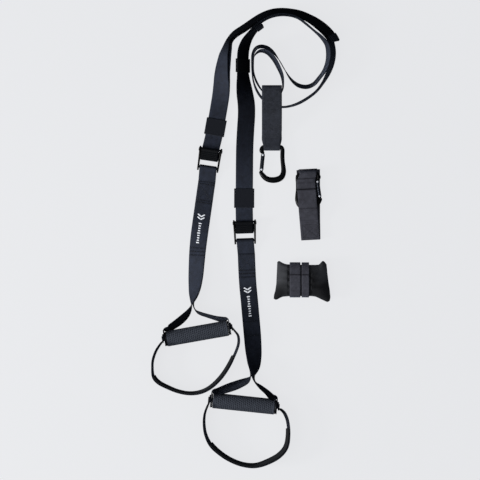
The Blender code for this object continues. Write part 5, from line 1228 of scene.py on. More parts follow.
def build_keeper(name, dense, place, length, body, node, shade):
    """Elastic sleeve round strap and tail: a rounded tube, slightly waisted, with thick hems.

    Its wall is full at the hems and thinner between; past the share e of its half length it rounds off as
    sqrt(1 - ((|s| - e) / (1 - e))^2).
    """
    i = dense.nearest(place)
    along = unit(dense.points[i + 1] - dense.points[i - 1])
    across, out = dense.across[i], dense.out[i]
    middle = dense.points[i] + out * LAYER_PITCH / 2
    half_w = WEB_WIDTH / 2 + KEEPER_SIDE_PLAY
    inside = (WEB_THICK + LAYER_PITCH + SEAT_GAP + KEEPER_HEAD_PLAY) / 2

    def outline(grow, radius):
        """Rounded box that is grown out by a distance."""
        out_points = []
        hw, hh = half_w + grow, inside + grow
        for su, sv, first in ((1, 1, 0), (-1, 1, 90), (-1, -1, 180), (1, -1, 270)):
            for a in np.radians(np.linspace(first, first + 90, 9)):
                out_points.append((su * (hw - radius) + radius * math.cos(a),
                                   sv * (hh - radius) + radius * math.sin(a)))
        dense_points = []
        for (u0, v0), (u1, v1) in zip(out_points, out_points[1:] + out_points[:1]):
            pieces = max(1, int(round(math.hypot(u1 - u0, v1 - v0) / KEEPER_STEP)))
            dense_points += [(u0 + (u1 - u0) * k / pieces, v0 + (v1 - v0) * k / pieces)
                             for k in range(pieces)]
        return np.array(dense_points)

    outer = outline(KEEPER_WALL, KEEPER_CORNER)
    count = len(outer)
    inner = outline(KEEPER_WALL * KEEPER_LINING, KEEPER_CORNER - KEEPER_WALL * (1 - KEEPER_LINING))
    reach = np.concatenate([[0], np.cumsum(np.linalg.norm(np.diff(outer, axis=0), axis=1))])
    inner_at = np.array([inner[int(round(k / count * len(inner))) % len(inner)] for k in range(count)])
    profile = []
    for share in np.linspace(-1, 1, KEEPER_RINGS):
        past = max(0.0, (abs(share) - KEEPER_SOFT_FROM) / (1 - KEEPER_SOFT_FROM))
        soft = math.sqrt(max(0.0, 1 - past ** 2))
        waist = 1.0 if abs(share) > KEEPER_HEM_FROM else KEEPER_WAIST
        profile.append((share * length / 2, waist * soft))
    points, uv = [], []
    for s, grow in profile:
        ring = inner_at + (outer - inner_at) * max(KEEPER_LEAST_WALL, grow)
        for k, (u, v) in enumerate(ring):
            points.append(middle + along * s + across * u + out * v)
            uv.append((s, reach[k]))
    for s in (length / 2, -length / 2):
        for k, (u, v) in enumerate(inner_at):
            points.append(middle + along * s * KEEPER_LINING_LENGTH + across * u + out * v)
            uv.append((s, reach[k]))
    faces = tube_faces(len(profile) + 2, count, closed=True)
    item = make(name, points, faces, FINISH["keeper_elastic"], uv, shade=np.full(len(points), shade))
    place_piece(item, body, "keeper_elastic", node)


def squared(values, power):
    """Sign of each value times its size to a power below one, which makes a circle's section squarer."""
    return np.sign(values) * np.abs(values) ** power


def blanket(name, rings, material):
    """A closed skin over rings of the same number of points."""
    rings = np.asarray(rings)
    return make(name, rings.reshape(-1, 3), tube_faces(rings.shape[0], rings.shape[1]), material)


def build_frame(side, buckle):
    """The two cheeks of a buckle's frame and its base plate, with every edge rounded.

    Each cheek's outline is read from a smooth curve and set in by r (1 - sin a) at a depth of
    r (1 - cos a) from its face.
    """
    inner = WEB_WIDTH / 2 + FLANGE_SIDE_PLAY
    top = buckle.pin_level + CAM_HUB_RADIUS * 0.86
    low = BAR_RADIUS * 2 + buckle.bar_level / 2
    outline = [(CHEEK_TOE, CHEEK_FOOT), (BUCKLE_LENGTH - CHEEK_HEEL, CHEEK_FOOT),
               (BUCKLE_LENGTH, CHEEK_FOOT + CHEEK_HEEL_RISE), (BUCKLE_LENGTH, low),
               (BUCKLE_LENGTH - BAR_FROM_END / 2, low + BAR_RADIUS * 0.8),
               (buckle.plate_end, low + BAR_RADIUS)]
    outline += [(CAM_PIN_PLACE + share * CAM_HUB_RADIUS, top + rise) for share, rise in CHEEK_CROWN]
    outline += [CHEEK_NOSE]
    rows = smooth_rows([(a, b, 0.0) for a, b in outline], CHEEK_STEP, closed=True)[:, :2]
    centre = rows.mean(axis=0)
    ahead = np.roll(rows, -1, axis=0) - np.roll(rows, 1, axis=0)
    inward = units(np.stack([-ahead[:, 1], ahead[:, 0]], axis=1))
    inward *= np.sign(np.sum(inward * (centre - rows), axis=1))[:, None]
    rings = [(CHEEK_ROUND * (1 - math.cos(a)), CHEEK_ROUND * (1 - math.sin(a)))
             for a in np.radians((0, 30, 60, 90))]
    rings += [(FRAME_THICK - depth, inset) for depth, inset in rings[::-1]]

    def flare(along):
        """How far a cheek leans out: from +f at its head to -f below, as f cos(pi s)."""
        share = min(max((along - FLARE_START) / FLARE_LENGTH, 0.0), 1.0)
        return FRAME_FLARE * math.cos(math.pi * share)

    for sign, hand in ((-1, "left"), (1, "right")):
        skin = [[buckle.at(a, b, sign * (inner + depth + flare(a))) for a, b in rows + inward * inset]
                for depth, inset in rings]
        cheek = blanket("%s_frame_cheek_%s" % (side, hand), skin, FINISH["coated_steel"])
        place_piece(cheek, "straps", "coated_steel", side + "_buckle_frame")
    edge = PLATE_ROUND
    corners = ((buckle.plate_end - edge, PLATE_THICK - edge, 0), (PLATE_START + edge, PLATE_THICK - edge, 90),
               (PLATE_START + edge, edge, 180), (buckle.plate_end - edge, edge, 270))
    plate = []
    for across in (-inner - PLATE_INTO_CHEEK, inner + PLATE_INTO_CHEEK):
        ring = []
        for along, high, first in corners:
            for a in np.radians(np.linspace(first, first + 90, 5)):
                height = buckle.plate_level + high + edge * math.sin(a)
                ring.append(buckle.at(along + edge * math.cos(a), height, across))
        plate.append(ring)
    base = blanket(side + "_frame_plate", plate, FINISH["coated_steel"])
    place_piece(base, "straps", "coated_steel", side + "_buckle_frame")


def carabiner_rows():
    """Middle line of a carabiner's bar from the hinge's tongue round to the nose: x, y, thickness."""
    rows = [(HINGE_PLACE[0] + BINER_HALF_WIDTH * x, HINGE_PLACE[1] + GATE_RADIUS * y, full)
            for x, y, full in BINER_HINGE_SHARES]
    rows += [(BINER_HALF_WIDTH * x, (BINER_TOP if y > 0 else BINER_BOTTOM * BINER_FOOT_SHARE) * y, full)
             for x, y, full in BINER_BOW_SHARES]
    return rows + [(LATCH_PLACE[0] + BINER_HALF_WIDTH * x, LATCH_PLACE[1] + GATE_RADIUS * y, full)
                   for x, y, full in BINER_LATCH_SHARES]


def biner_place(middle, mirror, tilt, x, y):
    """World point of a place in a carabiner's drawing, mirrored or not, and turned by a tilt in degrees."""
    x = -x if mirror else x
    c, s = math.cos(math.radians(tilt)), math.sin(math.radians(tilt))
    return np.array(middle) + [x * c - y * s, x * s + y * c, 0.0]


def build_carabiner(prefix, middle, mirror, tilt, body):
    """Body of a carabiner: a bar of rounded section along its route, thicker round the basket.

    A ring's point is p + a sgn(cos t) |cos t|^0.85 side + h sgn(sin t) |sin t|^0.85 up.
    """
    rows = [[*biner_place(middle, mirror, tilt, x, y), full] for x, y, full in carabiner_rows()]
    dense = smooth_rows(np.array(rows), BINER_STEP)
    full = dense[:, 3]
    slim = TONGUE_WIDTH_SHARE + (1 - TONGUE_WIDTH_SHARE) * full
    wide = BINER_BAR * BINER_BROADER * np.where(full > 1, full, slim)
    tongue = BINER_TONGUE + (BINER_BAR - BINER_TONGUE) * np.clip(full, 0, 1)
    high = np.where(full > 1, BINER_BAR * full, tongue)
    side = units(np.cross(UP, headings(dense[:, :3])))
    turn = 2 * math.pi * np.arange(32) / 32
    u, v = squared(np.cos(turn), 0.85), squared(np.sin(turn), 0.85)
    rings = (dense[:, None, :3] + side[:, None, :] * (wide[:, None] * u)[..., None]
             + UP * (high[:, None] * v)[..., None])
    item = blanket(prefix + "_carabiner_bar", rings, FINISH["anodised"])
    place_piece(item, body, "anodised", prefix + "_carabiner_body")
    build_gate(prefix, middle, mirror, tilt, body)


def build_gate(prefix, middle, mirror, tilt, body):
    """Gate of a carabiner, a turned rod with round ends, and the two rivets it turns and shuts on, their heads
    painted near white for their glint.

    The rod's radius falls as r sqrt(1 - e^2) over its ends, with e the share of the end's length.
    """
    hinge, latch = [biner_place(middle, mirror, tilt, x, y) for x, y in (HINGE_PLACE, LATCH_PLACE)]
    gate_body = prefix + "_gate"
    along, length = unit(latch - hinge), float(np.linalg.norm(latch - hinge))
    turn = np.radians(np.linspace(4, 90, 7))
    profile = [(-GATE_END * math.cos(a), GATE_SEEN_RADIUS * math.sin(a)) for a in turn]
    profile += [(length * share, GATE_SEEN_RADIUS) for share in (0.2, 0.4, 0.6, 0.8)]
    profile += [(length + GATE_END * math.cos(a), GATE_SEEN_RADIUS * math.sin(a)) for a in turn[::-1]]
    side = np.cross(UP, along)
    angles = 2 * math.pi * np.arange(40) / 40
    rings = [[hinge + along * place + radius * (math.cos(a) * side + math.sin(a) * UP) for a in angles]
             for place, radius in profile]
    gate = blanket(prefix + "_gate_rod", rings, FINISH["gate_polish"])
    place_piece(gate, gate_body, "anodised", prefix + "_carabiner_gate")
    for name, place, rider in (("hinge", hinge, body), ("latch", latch, gate_body)):
        half = GATE_SEEN_RADIUS + RIVET_PROUD
        profile = [(-half + back, RIVET_SEEN_RADIUS * wide) for back, wide in RIVET_DOME]
        profile += [(half - back, RIVET_SEEN_RADIUS * wide) for back, wide in RIVET_DOME[::-1]]
        rings = [[place + UP * up + wide * (math.cos(a) * side + math.sin(a) * along) for a in angles[::2]]
                 for up, wide in profile]
        rivet = blanket("%s_%s_rivet_pin" % (prefix, name), rings, FINISH["rivet_painted_glint"])
        place_piece(rivet, rider, "bright_steel", "%s_%s_rivet" % (prefix, name))


def build_caps(side, grip):
    """End caps of a grip: a turned disc with a rounded rim and a shallow ring on its face."""
    for sign, end in ((-1, "left"), (1, "right")):
        start, stop = GRIP_LENGTH / 2 + SEAT_GAP, grip.cap_end
        rim, groove = CAP_RIM, CAP_GROOVE
        profile = [(start, CORE_RADIUS + SEAT_GAP), (start, CAP_RADIUS)]
        profile += [(stop - rim + rim * math.sin(a), CAP_RADIUS - rim + rim * math.cos(a))
                    for a in np.radians(np.linspace(0, 90, 5))]
        profile += [(stop, CAP_RADIUS * 0.72), (stop - groove, CAP_RADIUS * 0.69),
                    (stop - groove, CORE_HEAD_RADIUS * 1.15), (stop, CORE_HEAD_RADIUS * 1.08),
                    (stop, CORE_RADIUS + SEAT_GAP)]
        cap = lathe("%s_cap_%s" % (side, end), profile, grip.middle, grip.axis * sign, UP, 64,
                    FINISH["cap_plastic"])
        place_piece(cap, side + "_handle", "cap_plastic", "%s_grip_cap_%s" % (side, end))


class Grip:
    """Axes and end places of one grip, as in the part's source."""

    def __init__(self, side):
        lean = math.radians(GRIPS[side]["lean"])
        self.axis = np.array([math.cos(lean), -math.sin(lean), 0.0])
        self.out = np.array([-math.sin(lean), -math.cos(lean), 0.0])
        self.level = SEAT_GAP + WEB_WIDTH / 2
        self.middle = world(GRIPS[side]["middle"], self.level)
        self.cap_end = GRIP_LENGTH / 2 + SEAT_GAP + CAP_THICK
        self.leg_place = self.cap_end + SEAT_GAP + WEB_THICK / 2
        self.cradle_place = self.leg_place + WEB_THICK / 2 + SEAT_GAP + CRADLE_THICK / 2

    def at(self, along, out):
        """World point at a place along the grip's axis and out towards the cradle."""
        return self.middle + self.axis * along + self.out * out

    def end_rows(self, shares, place, sign):
        """World points of a table of shares at the left (-1) or right (1) end of the grip."""
        return [self.at(sign * (place - back * GRIP_RADIUS), out * GRIP_RADIUS) for back, out in shares]


def leg_rows(grip, table, end_sign, roll_of):
    """Rows of a leg from the fork to its end on the grip: smooth places, then the turn across the end."""
    rows = []
    for x, y, value in table:
        lean = math.radians(value)
        height = SEAT_GAP + (WEB_WIDTH * abs(math.sin(lean)) + WEB_THICK * abs(math.cos(lean))) / 2
        rows.append([*world((x, y), height), roll_of(value)])
    turn = grip.end_rows(LEG_TURN_SHARES, grip.leg_place, end_sign)
    for point, lean in zip(turn, LEG_TURN_LEANS):
        rows.append([*point, roll_of(UPRIGHT - end_sign * lean)])
    return rows


def build_handle_strap(side, buckle, grip, doubled, legs):
    """Handle webbing: an upper and a lower layer from the buckle's bar, each with a leg to the grip."""
    sign = -1 if side == "left" else 1
    top_leg, low_leg = ("left", "right") if side == "left" else ("right", "left")
    eye = BAR_RADIUS + SEAT_GAP + WEB_THICK / 2
    rows = []
    for x, y, roll in doubled:
        lean = math.radians(roll)
        stack = WEB_THICK + LAYER_PITCH
        height = SEAT_GAP + (WEB_WIDTH * abs(math.sin(lean)) + stack * abs(math.cos(lean))) / 2
        rows.append([*world((x, y), height), roll])
    pair = Strip.along(np.array(rows[::-1]), WEB_WIDTH, COARSE_STEP)
    upper = pair.stood_off(LAYER_PITCH / 2)
    lower = pair.stood_off(-LAYER_PITCH / 2)
    fine = Strip.along(np.array(rows[::-1]), WEB_WIDTH)

    def leg(layer, key, heading_up):
        """Stations of a leg, whose curve starts along the doubled stretch."""
        end_sign = -1 if key == "left" else 1
        roll_of = (lambda value: sign * value) if heading_up else (lambda value: 180 - sign * value)
        start = [[*layer.points[i], roll_of(abs(rows[-1][3]))] for i in (1, 0)]
        start[0][3] = roll_of(abs(doubled[-2][2]))
        table = np.array(start + leg_rows(grip, legs[key], end_sign, roll_of))
        dense = smooth_rows(table[::-1] if heading_up else table, FINE_STEP)
        cut = int(np.argmin(np.linalg.norm(dense[:, :3] - layer.points[0], axis=1)))
        keep = dense[:cut] if heading_up else dense[cut + 1:]
        across, out = rolled_frames(keep[:, :3], keep[:, 3])
        return Strip(keep[:, :3], across, out, WEB_WIDTH)

    bar = buckle.at(buckle.bar_place, buckle.bar_level)
    over = [bar + UP * eye] + fold_points(bar, -buckle.down, eye, 75, -90)
    turn = Strip.folded(over, -buckle.right, WEB_WIDTH)
    top = fine.stood_off(LAYER_PITCH / 2)
    low = fine.stood_off(-LAYER_PITCH / 2).turned_over()
    half_turn = len(turn.points) * 2 // 3
    above = (leg(upper, top_leg, True) + top + turn.part(0, half_turn + 1)).even()
    below = (turn.part(half_turn, len(turn.points)) + low + leg(lower, low_leg, False)).even()
    return above, below, fine


def build_pad(name, strip, thick, body, node):
    """A soft strip with full round edges that swells between its sewn-down ends.

    Its thickness is t (0.55 + 0.45 sqrt(d / reach)) (1 + 0.03 sin(s / wave)), with d the distance from the
    nearer end, up to the reach.
    """
    count = 28
    angles = 2 * math.pi * (np.arange(count) + 0.5) / count
    u, v = squared(np.cos(angles), 0.42), squared(np.sin(angles), 0.62)
    way = strip.way()
    near_end = np.minimum(way, way[-1] - way)
    swell = 0.55 + 0.45 * np.clip(near_end / PAD_END_REACH, 0, 1) ** 0.5
    ripple = 1 + 0.03 * np.sin(way / PAD_WAVE)
    side = (strip.widths / 2)[:, None] * u[None, :]
    lift = (thick / 2 * swell * ripple)[:, None] * v[None, :]
    rows = (strip.points[:, None, :] + strip.across[:, None, :] * side[..., None]
            + strip.out[:, None, :] * lift[..., None])
    uv = np.stack([np.broadcast_to(way[:, None], side.shape), side], axis=-1)
    item = make(name, rows.reshape(-1, 3), tube_faces(len(way), count), FINISH["pad_neoprene"],
                uv.reshape(-1, 2))
    place_piece(item, body, "pad_neoprene", node)


def build_foam(side, grip):
    """Foam sleeve with a moulded net of hexagon dimples.

    A dimple's depth falls with the distance d from the nearest point of a hexagon lattice of side s:
    depth (1 - smoothstep(0.22 s, 0.44 s, d)). Painted shade in the dimples follows the same fall.
    """
    half, bore = GRIP_LENGTH / 2, TUBE_RADIUS + SEAT_GAP
    spacing = 2 * math.pi * FOAM_SEEN_RADIUS / FOAM_CELLS
    row_gap = spacing * math.sqrt(3) / 2
    flat_end, shoulder = half - FOAM_ROUND, FOAM_SEEN_RADIUS - FOAM_ROUND
    arcs = [(flat_end + FOAM_ROUND * math.sin(a), shoulder + FOAM_ROUND * math.cos(a))
            for a in np.radians(np.linspace(0, 90, 6))]
    x = np.linspace(-half + FOAM_ROUND, flat_end, FOAM_ALONG)
    places = [(-half, bore)] + [(-s, r) for s, r in arcs[::-1]] + [(s, FOAM_SEEN_RADIUS) for s in x[1:-1]]
    places += arcs + [(half, bore)]
    places = np.array(places)
    angle = 2 * math.pi * np.arange(FOAM_AROUND) / FOAM_AROUND
    xs, ys = np.meshgrid(places[:, 0], angle * FOAM_SEEN_RADIUS)
    best = np.full(xs.shape, 1.0)
    row = np.round(xs / row_gap)
    for step in (-1, 0, 1):
        near = row + step
        offset = np.where(near % 2 == 0, 0.0, spacing / 2)
        centre = np.round((ys - offset) / spacing) * spacing + offset
        best = np.minimum(best, np.hypot(xs - near * row_gap, ys - centre))
    floor = FOAM_FLOOR_SHARE * spacing
    t = np.clip((best - floor) / floor, 0, 1)
    hollow = 1 - t * t * (3 - 2 * t)
    plain = np.clip((half - FOAM_PLAIN_END - np.abs(xs)) / MM, 0, 1)
    inside = plain * (places[None, :, 1] > bore + 1e-6)
    radius = places[None, :, 1] - FOAM_DIMPLE * hollow * inside
    rays = np.cos(angle)[:, None] * grip.out + np.sin(angle)[:, None] * np.cross(grip.axis, grip.out)
    points = grip.middle + xs[..., None] * grip.axis + radius[..., None] * rays[:, None, :]
    faces = tube_faces(FOAM_AROUND, len(places), closed=True)
    # painted shade in the dimples
    item = make(side + "_foam_sleeve", points.reshape(-1, 3), faces, FINISH["foam"],
                shade=FOAM_PIT_SHADE * hollow * inside)
    place_piece(item, side + "_grip", "foam", side + "_foam_grip")


def cradle_level(roll):
    """Height of the cradle webbing's middle where its lower edge just clears the ground at that roll."""
    lean = math.radians(roll)
    return SEAT_GAP + (CRADLE_WIDTH * abs(math.sin(lean)) + CRADLE_THICK * abs(math.cos(lean))) / 2


def build_cradle(side, grip, route, right_shares, pad_shares):
    """Foot cradle webbing from one end of the grip to the other, and the pad inside its far side."""
    ends = [grip.end_rows(CRADLE_END_SHARES, grip.cradle_place, -1),
            grip.end_rows(right_shares, grip.cradle_place, 1)[::-1]]
    rows = [[*point, UPRIGHT + 3] for point in ends[0]]
    rows += [[*world((x, y), cradle_level(roll)), roll] for x, y, roll in route]
    rows += [[*point, UPRIGHT + 4] for point in ends[1]]
    strip = Strip.along(np.array(rows), CRADLE_WIDTH)
    body = side + "_cradle"
    shares = strip.shares()
    first = int(np.argmin(abs(shares - pad_shares[0])))
    last = int(np.argmin(abs(shares - pad_shares[1])))
    pad = strip.part(first, last + 1).stood_off(-(CRADLE_THICK + PAD_SEEN_THICK) / 2 - SEAT_GAP)
    pad.widths[:] = PAD_WIDTH
    build_pad(side + "_foot_pad", pad, PAD_SEEN_THICK, body, side + "_cradle_pad")
    span = strip.way()
    start, end = span[first] + PAD_SEAM_IN, span[last] - PAD_SEAM_IN
    lines = [[(start, v), (end, v)] for v in (-PAD_SEAM_HALF, PAD_SEAM_HALF)]
    lines += [[(way, -PAD_SEAM_HALF), (way, PAD_SEAM_HALF)] for way in (start, end)]
    seams = sew(side + "_cradle_seams", body, [run(strip, line, CRADLE_THICK / 2) for line in lines])
    marks = [(*route[k][:2], shade) for k, shade in CRADLE_SHADES]
    web(side + "_cradle_strap", strip, body, side + "_cradle_webbing", marks, thick=CRADLE_THICK)


def lying(strip, height):
    """True for the stations of a strip that lie above a height over the ground."""
    return strip.points[:, 2] > SHIFT[2] + height


def build_anchor_tab():
    """Anchor tab, a closed webbing loop round the straps whose foot is the carabiner's eye."""
    bar = world(ANCHOR_BINER_MIDDLE) + np.array([0, BINER_TOP, 0])
    eye = BINER_BAR + SEAT_GAP + TAB_EYE_PLAY + TAB_THICK / 2
    bar[2] = eye + TAB_THICK / 2 + SHIFT[2]
    middle_x = world((TAB_MIDDLE_X, 0))[0]
    points = [[middle_x, *world((0, y), height * MM)[1:]] for y, height in TAB_TOP_SIDE + TAB_BOTTOM_SIDE]
    widths = [TAB_WIDTH + TAB_SPREAD] * len(points)
    foot = np.array([middle_x, bar[1], bar[2]])
    for point in fold_points(foot, np.array([0.0, -1.0, 0.0]), eye, -90, 75, 8):
        points.append(point)
        widths.append(TAB_EYE_WIDTH)
    widths[0] = (TAB_WIDTH + TAB_SPREAD + TAB_EYE_WIDTH) / 2
    ring = smooth_rows(np.column_stack([np.array(points), widths]), TAB_STEP, closed=True)
    travel = headings(ring[:, :3], closed=True)
    across = np.broadcast_to(np.array([1.0, 0.0, 0.0]), travel.shape)
    strip = Strip(ring[:, :3], across, np.cross(travel, across), ring[:, 3])
    item = ribbon("anchor_tab_loop", strip, TAB_THICK, FINISH["tab"], closed=True)
    place_piece(item, "straps", "tab", "anchor_tab")
    way = strip.way()
    side = -1 if strip.out[len(way) // 4][2] < 0 else 1
    below = ~lying(strip, TAB_LOW_SIDE)
    marks = []
    for y in TAB_SEAM_PLACES:
        gap = abs(strip.points[:, 1] - world((0, y))[1]) + 1e3 * below
        marks.append(way[int(np.argmin(gap))])
    lift = side * TAB_THICK / 2
    seams = sew("anchor_tab_seams", "straps",
                box_cross(strip, marks[0], marks[1], SEAM_HALF, lift)
                + box_cross(strip, marks[2], marks[3], TAB_BOX_HALF, lift)
                + [row_across(strip, marks[1] + step, lift) for step in TAB_ROWS])

    ring = Strip.along(seated(YOKE_RING), WEB_WIDTH, closed=True)
    yoke = ribbon("yoke_ring_strap", ring, WEB_THICK, FINISH["webbing"], closed=True,
                  shade=shading(ring, YOKE_SHADES))
    place_piece(yoke, "straps", "webbing", "yoke_ring")
    float(ring.way()[-1])
    print("strap yoke_ring", round(float(ring.way()[-1]), 3))
    return bar


def build_extension():
    """Extension strap folded to and fro, with its last turn through the carabiner's eye."""
    top, foot = world(BUNDLE_TOP), world(BUNDLE_FOOT)
    down = unit(foot - top)
    right = np.array([-down[1], down[0], 0.0])
    length = float(np.linalg.norm(foot - top))
    pitch = BUNDLE_THICK + SEAT_GAP
    bar_middle = world(EXTENSION_BINER_MIDDLE)
    bar_place = float(np.dot(bar_middle - top, down)) - BINER_TOP
    basket = BINER_BAR * BINER_BASKET_SHARE
    last_level = BUNDLE_THICK / 2 + (BUNDLE_LAYERS - 1) * pitch
    bar_level = last_level + BUNDLE_THICK / 2 + SEAT_GAP + basket
    eye = bar_level - last_level
    over = bar_level + basket + SEAT_GAP + BUNDLE_THICK / 2

    def at(along, height, side=0.0):
        return top + down * along + UP * height + right * side

    points, widths = [], []
    for layer in range(BUNDLE_LAYERS):
        level = BUNDLE_THICK / 2 + layer * pitch
        inset = pitch - BUNDLE_OVER_TOP if layer < BUNDLE_LAYERS - 1 else bar_place
        ends = [inset, length - pitch] if layer % 2 == 0 else [length - pitch, inset]
        sides = [np.interp(end / length, (0, 1), LAYER_SIDES[layer]) for end in ends]
        points += [at(ends[0], level, sides[0]), at((ends[0] + ends[1]) / 2, level, sum(sides) / 2),
                   at(ends[1], level, sides[1])]
        if layer < BUNDLE_LAYERS - 1:
            toward = down if layer % 2 == 0 else -down
            following = np.interp(ends[1] / length, (0, 1), LAYER_SIDES[layer + 1])
            centre = at(ends[1], level + pitch / 2, (sides[1] + following) / 2)
            points += fold_points(centre, toward, pitch / 2, -90, 90, 8)[1:-1]
        widths += [EXTENSION_WIDTH] * (len(points) - len(widths))
    eye_points = fold_points(at(bar_place, bar_level), -down, eye, -72, 90, 16)
    points += eye_points
    widths += [BUNDLE_EYE_WIDTH] * len(eye_points)
    ramp = smooth_rows([(share, lift, 0) for share, lift in EXTENSION_RAMP], 0.03)
    rest = BUNDLE_THICK / 2 + BUNDLE_LAYERS * pitch
    for share, lift, _ in ramp:
        along = length * share - BUNDLE_OVER_TOP * max(0.0, 1 - share / BUNDLE_OVER_SHARE)
        points.append(at(along, rest + (over - rest) * lift, np.interp(share, (0, 1), TOP_LAYER_SIDES)))
        widths.append(EXTENSION_WIDTH)
    strip = Strip.folded(np.array(points), right, widths).even()
    upper = lying(strip, rest * 0.9)
    # painted shade: lines at the top layer's folds, an even shade on the layers under it
    deep = np.zeros(len(strip.points))
    for y_px, reach, shade in EXTENSION_LINES:
        gap = (strip.points[:, 1] - world((0, y_px))[1]) / reach
        deep = np.maximum(deep, np.where(upper, shade * np.exp(-gap * gap), LOW_LAYER_SHADE))
    item = ribbon("extension_strap", strip, BUNDLE_THICK, FINISH["extension"], shade=deep)
    place_piece(item, "extension", "extension", "extension_webbing")
    way = strip.way()
    last = way[-1]
    start, end, half = last - EXTENSION_BOX[0], last - EXTENSION_BOX[1], EXTENSION_BOX_HALF
    row = [(last - EXTENSION_ROW, -half), (last - EXTENSION_ROW, half)]
    seams = sew("extension_seams", "extension", box_cross(strip, start, end, half, BUNDLE_THICK / 2)
                + [run(strip, row, BUNDLE_THICK / 2)])
    build_carabiner("extension", at(bar_place + BINER_TOP, bar_level), True,
                    math.degrees(math.atan2(down[0], -down[1])), "extension")
    print("sheet extension", round(float(last), 3))


def pillow_points(u, v, face):
    """Points of the pillow's skin: u and v run from -1 to 1 over its plan, face is 1 above and -1 below.

    A point lies between the left and right lines by u and between the head and foot lines by v, so the
    corners stand out as ears. The crown is the root of (1 - |u|^p)(1 - |v|^p).
    """
    left, right = np.interp(v, *zip(*PILLOW_LEFT)), np.interp(v, *zip(*PILLOW_RIGHT))
    head, foot = np.interp(u, PILLOW_FINE, PILLOW_HEAD_LINE), np.interp(u, PILLOW_FINE, PILLOW_FOOT_LINE)
    x = (left + (right - left) * (u + 1) / 2 - PILLOW_MIDDLE[0]) * PX
    y = (PILLOW_MIDDLE[1] - foot - (head - foot) * (v + 1) / 2) * PX
    side_fall = np.clip(1 - np.abs(u) ** PILLOW_SIDE_POWER, 0, None)
    crown = np.sqrt(side_fall * np.clip(1 - np.abs(v) ** PILLOW_POWER, 0, None))
    seam = BAND_THICK + SEAT_GAP + PILLOW_HEIGHT * PILLOW_SEAM_SHARE
    share = 1 - PILLOW_SEAM_SHARE if face > 0 else -PILLOW_SEAM_SHARE * PILLOW_SAG
    rise = PILLOW_HEIGHT * share
    height = np.maximum(seam + rise * crown, BAND_THICK + SEAT_GAP)
    return np.stack([x, y, height], axis=-1) + world(PILLOW_MIDDLE)


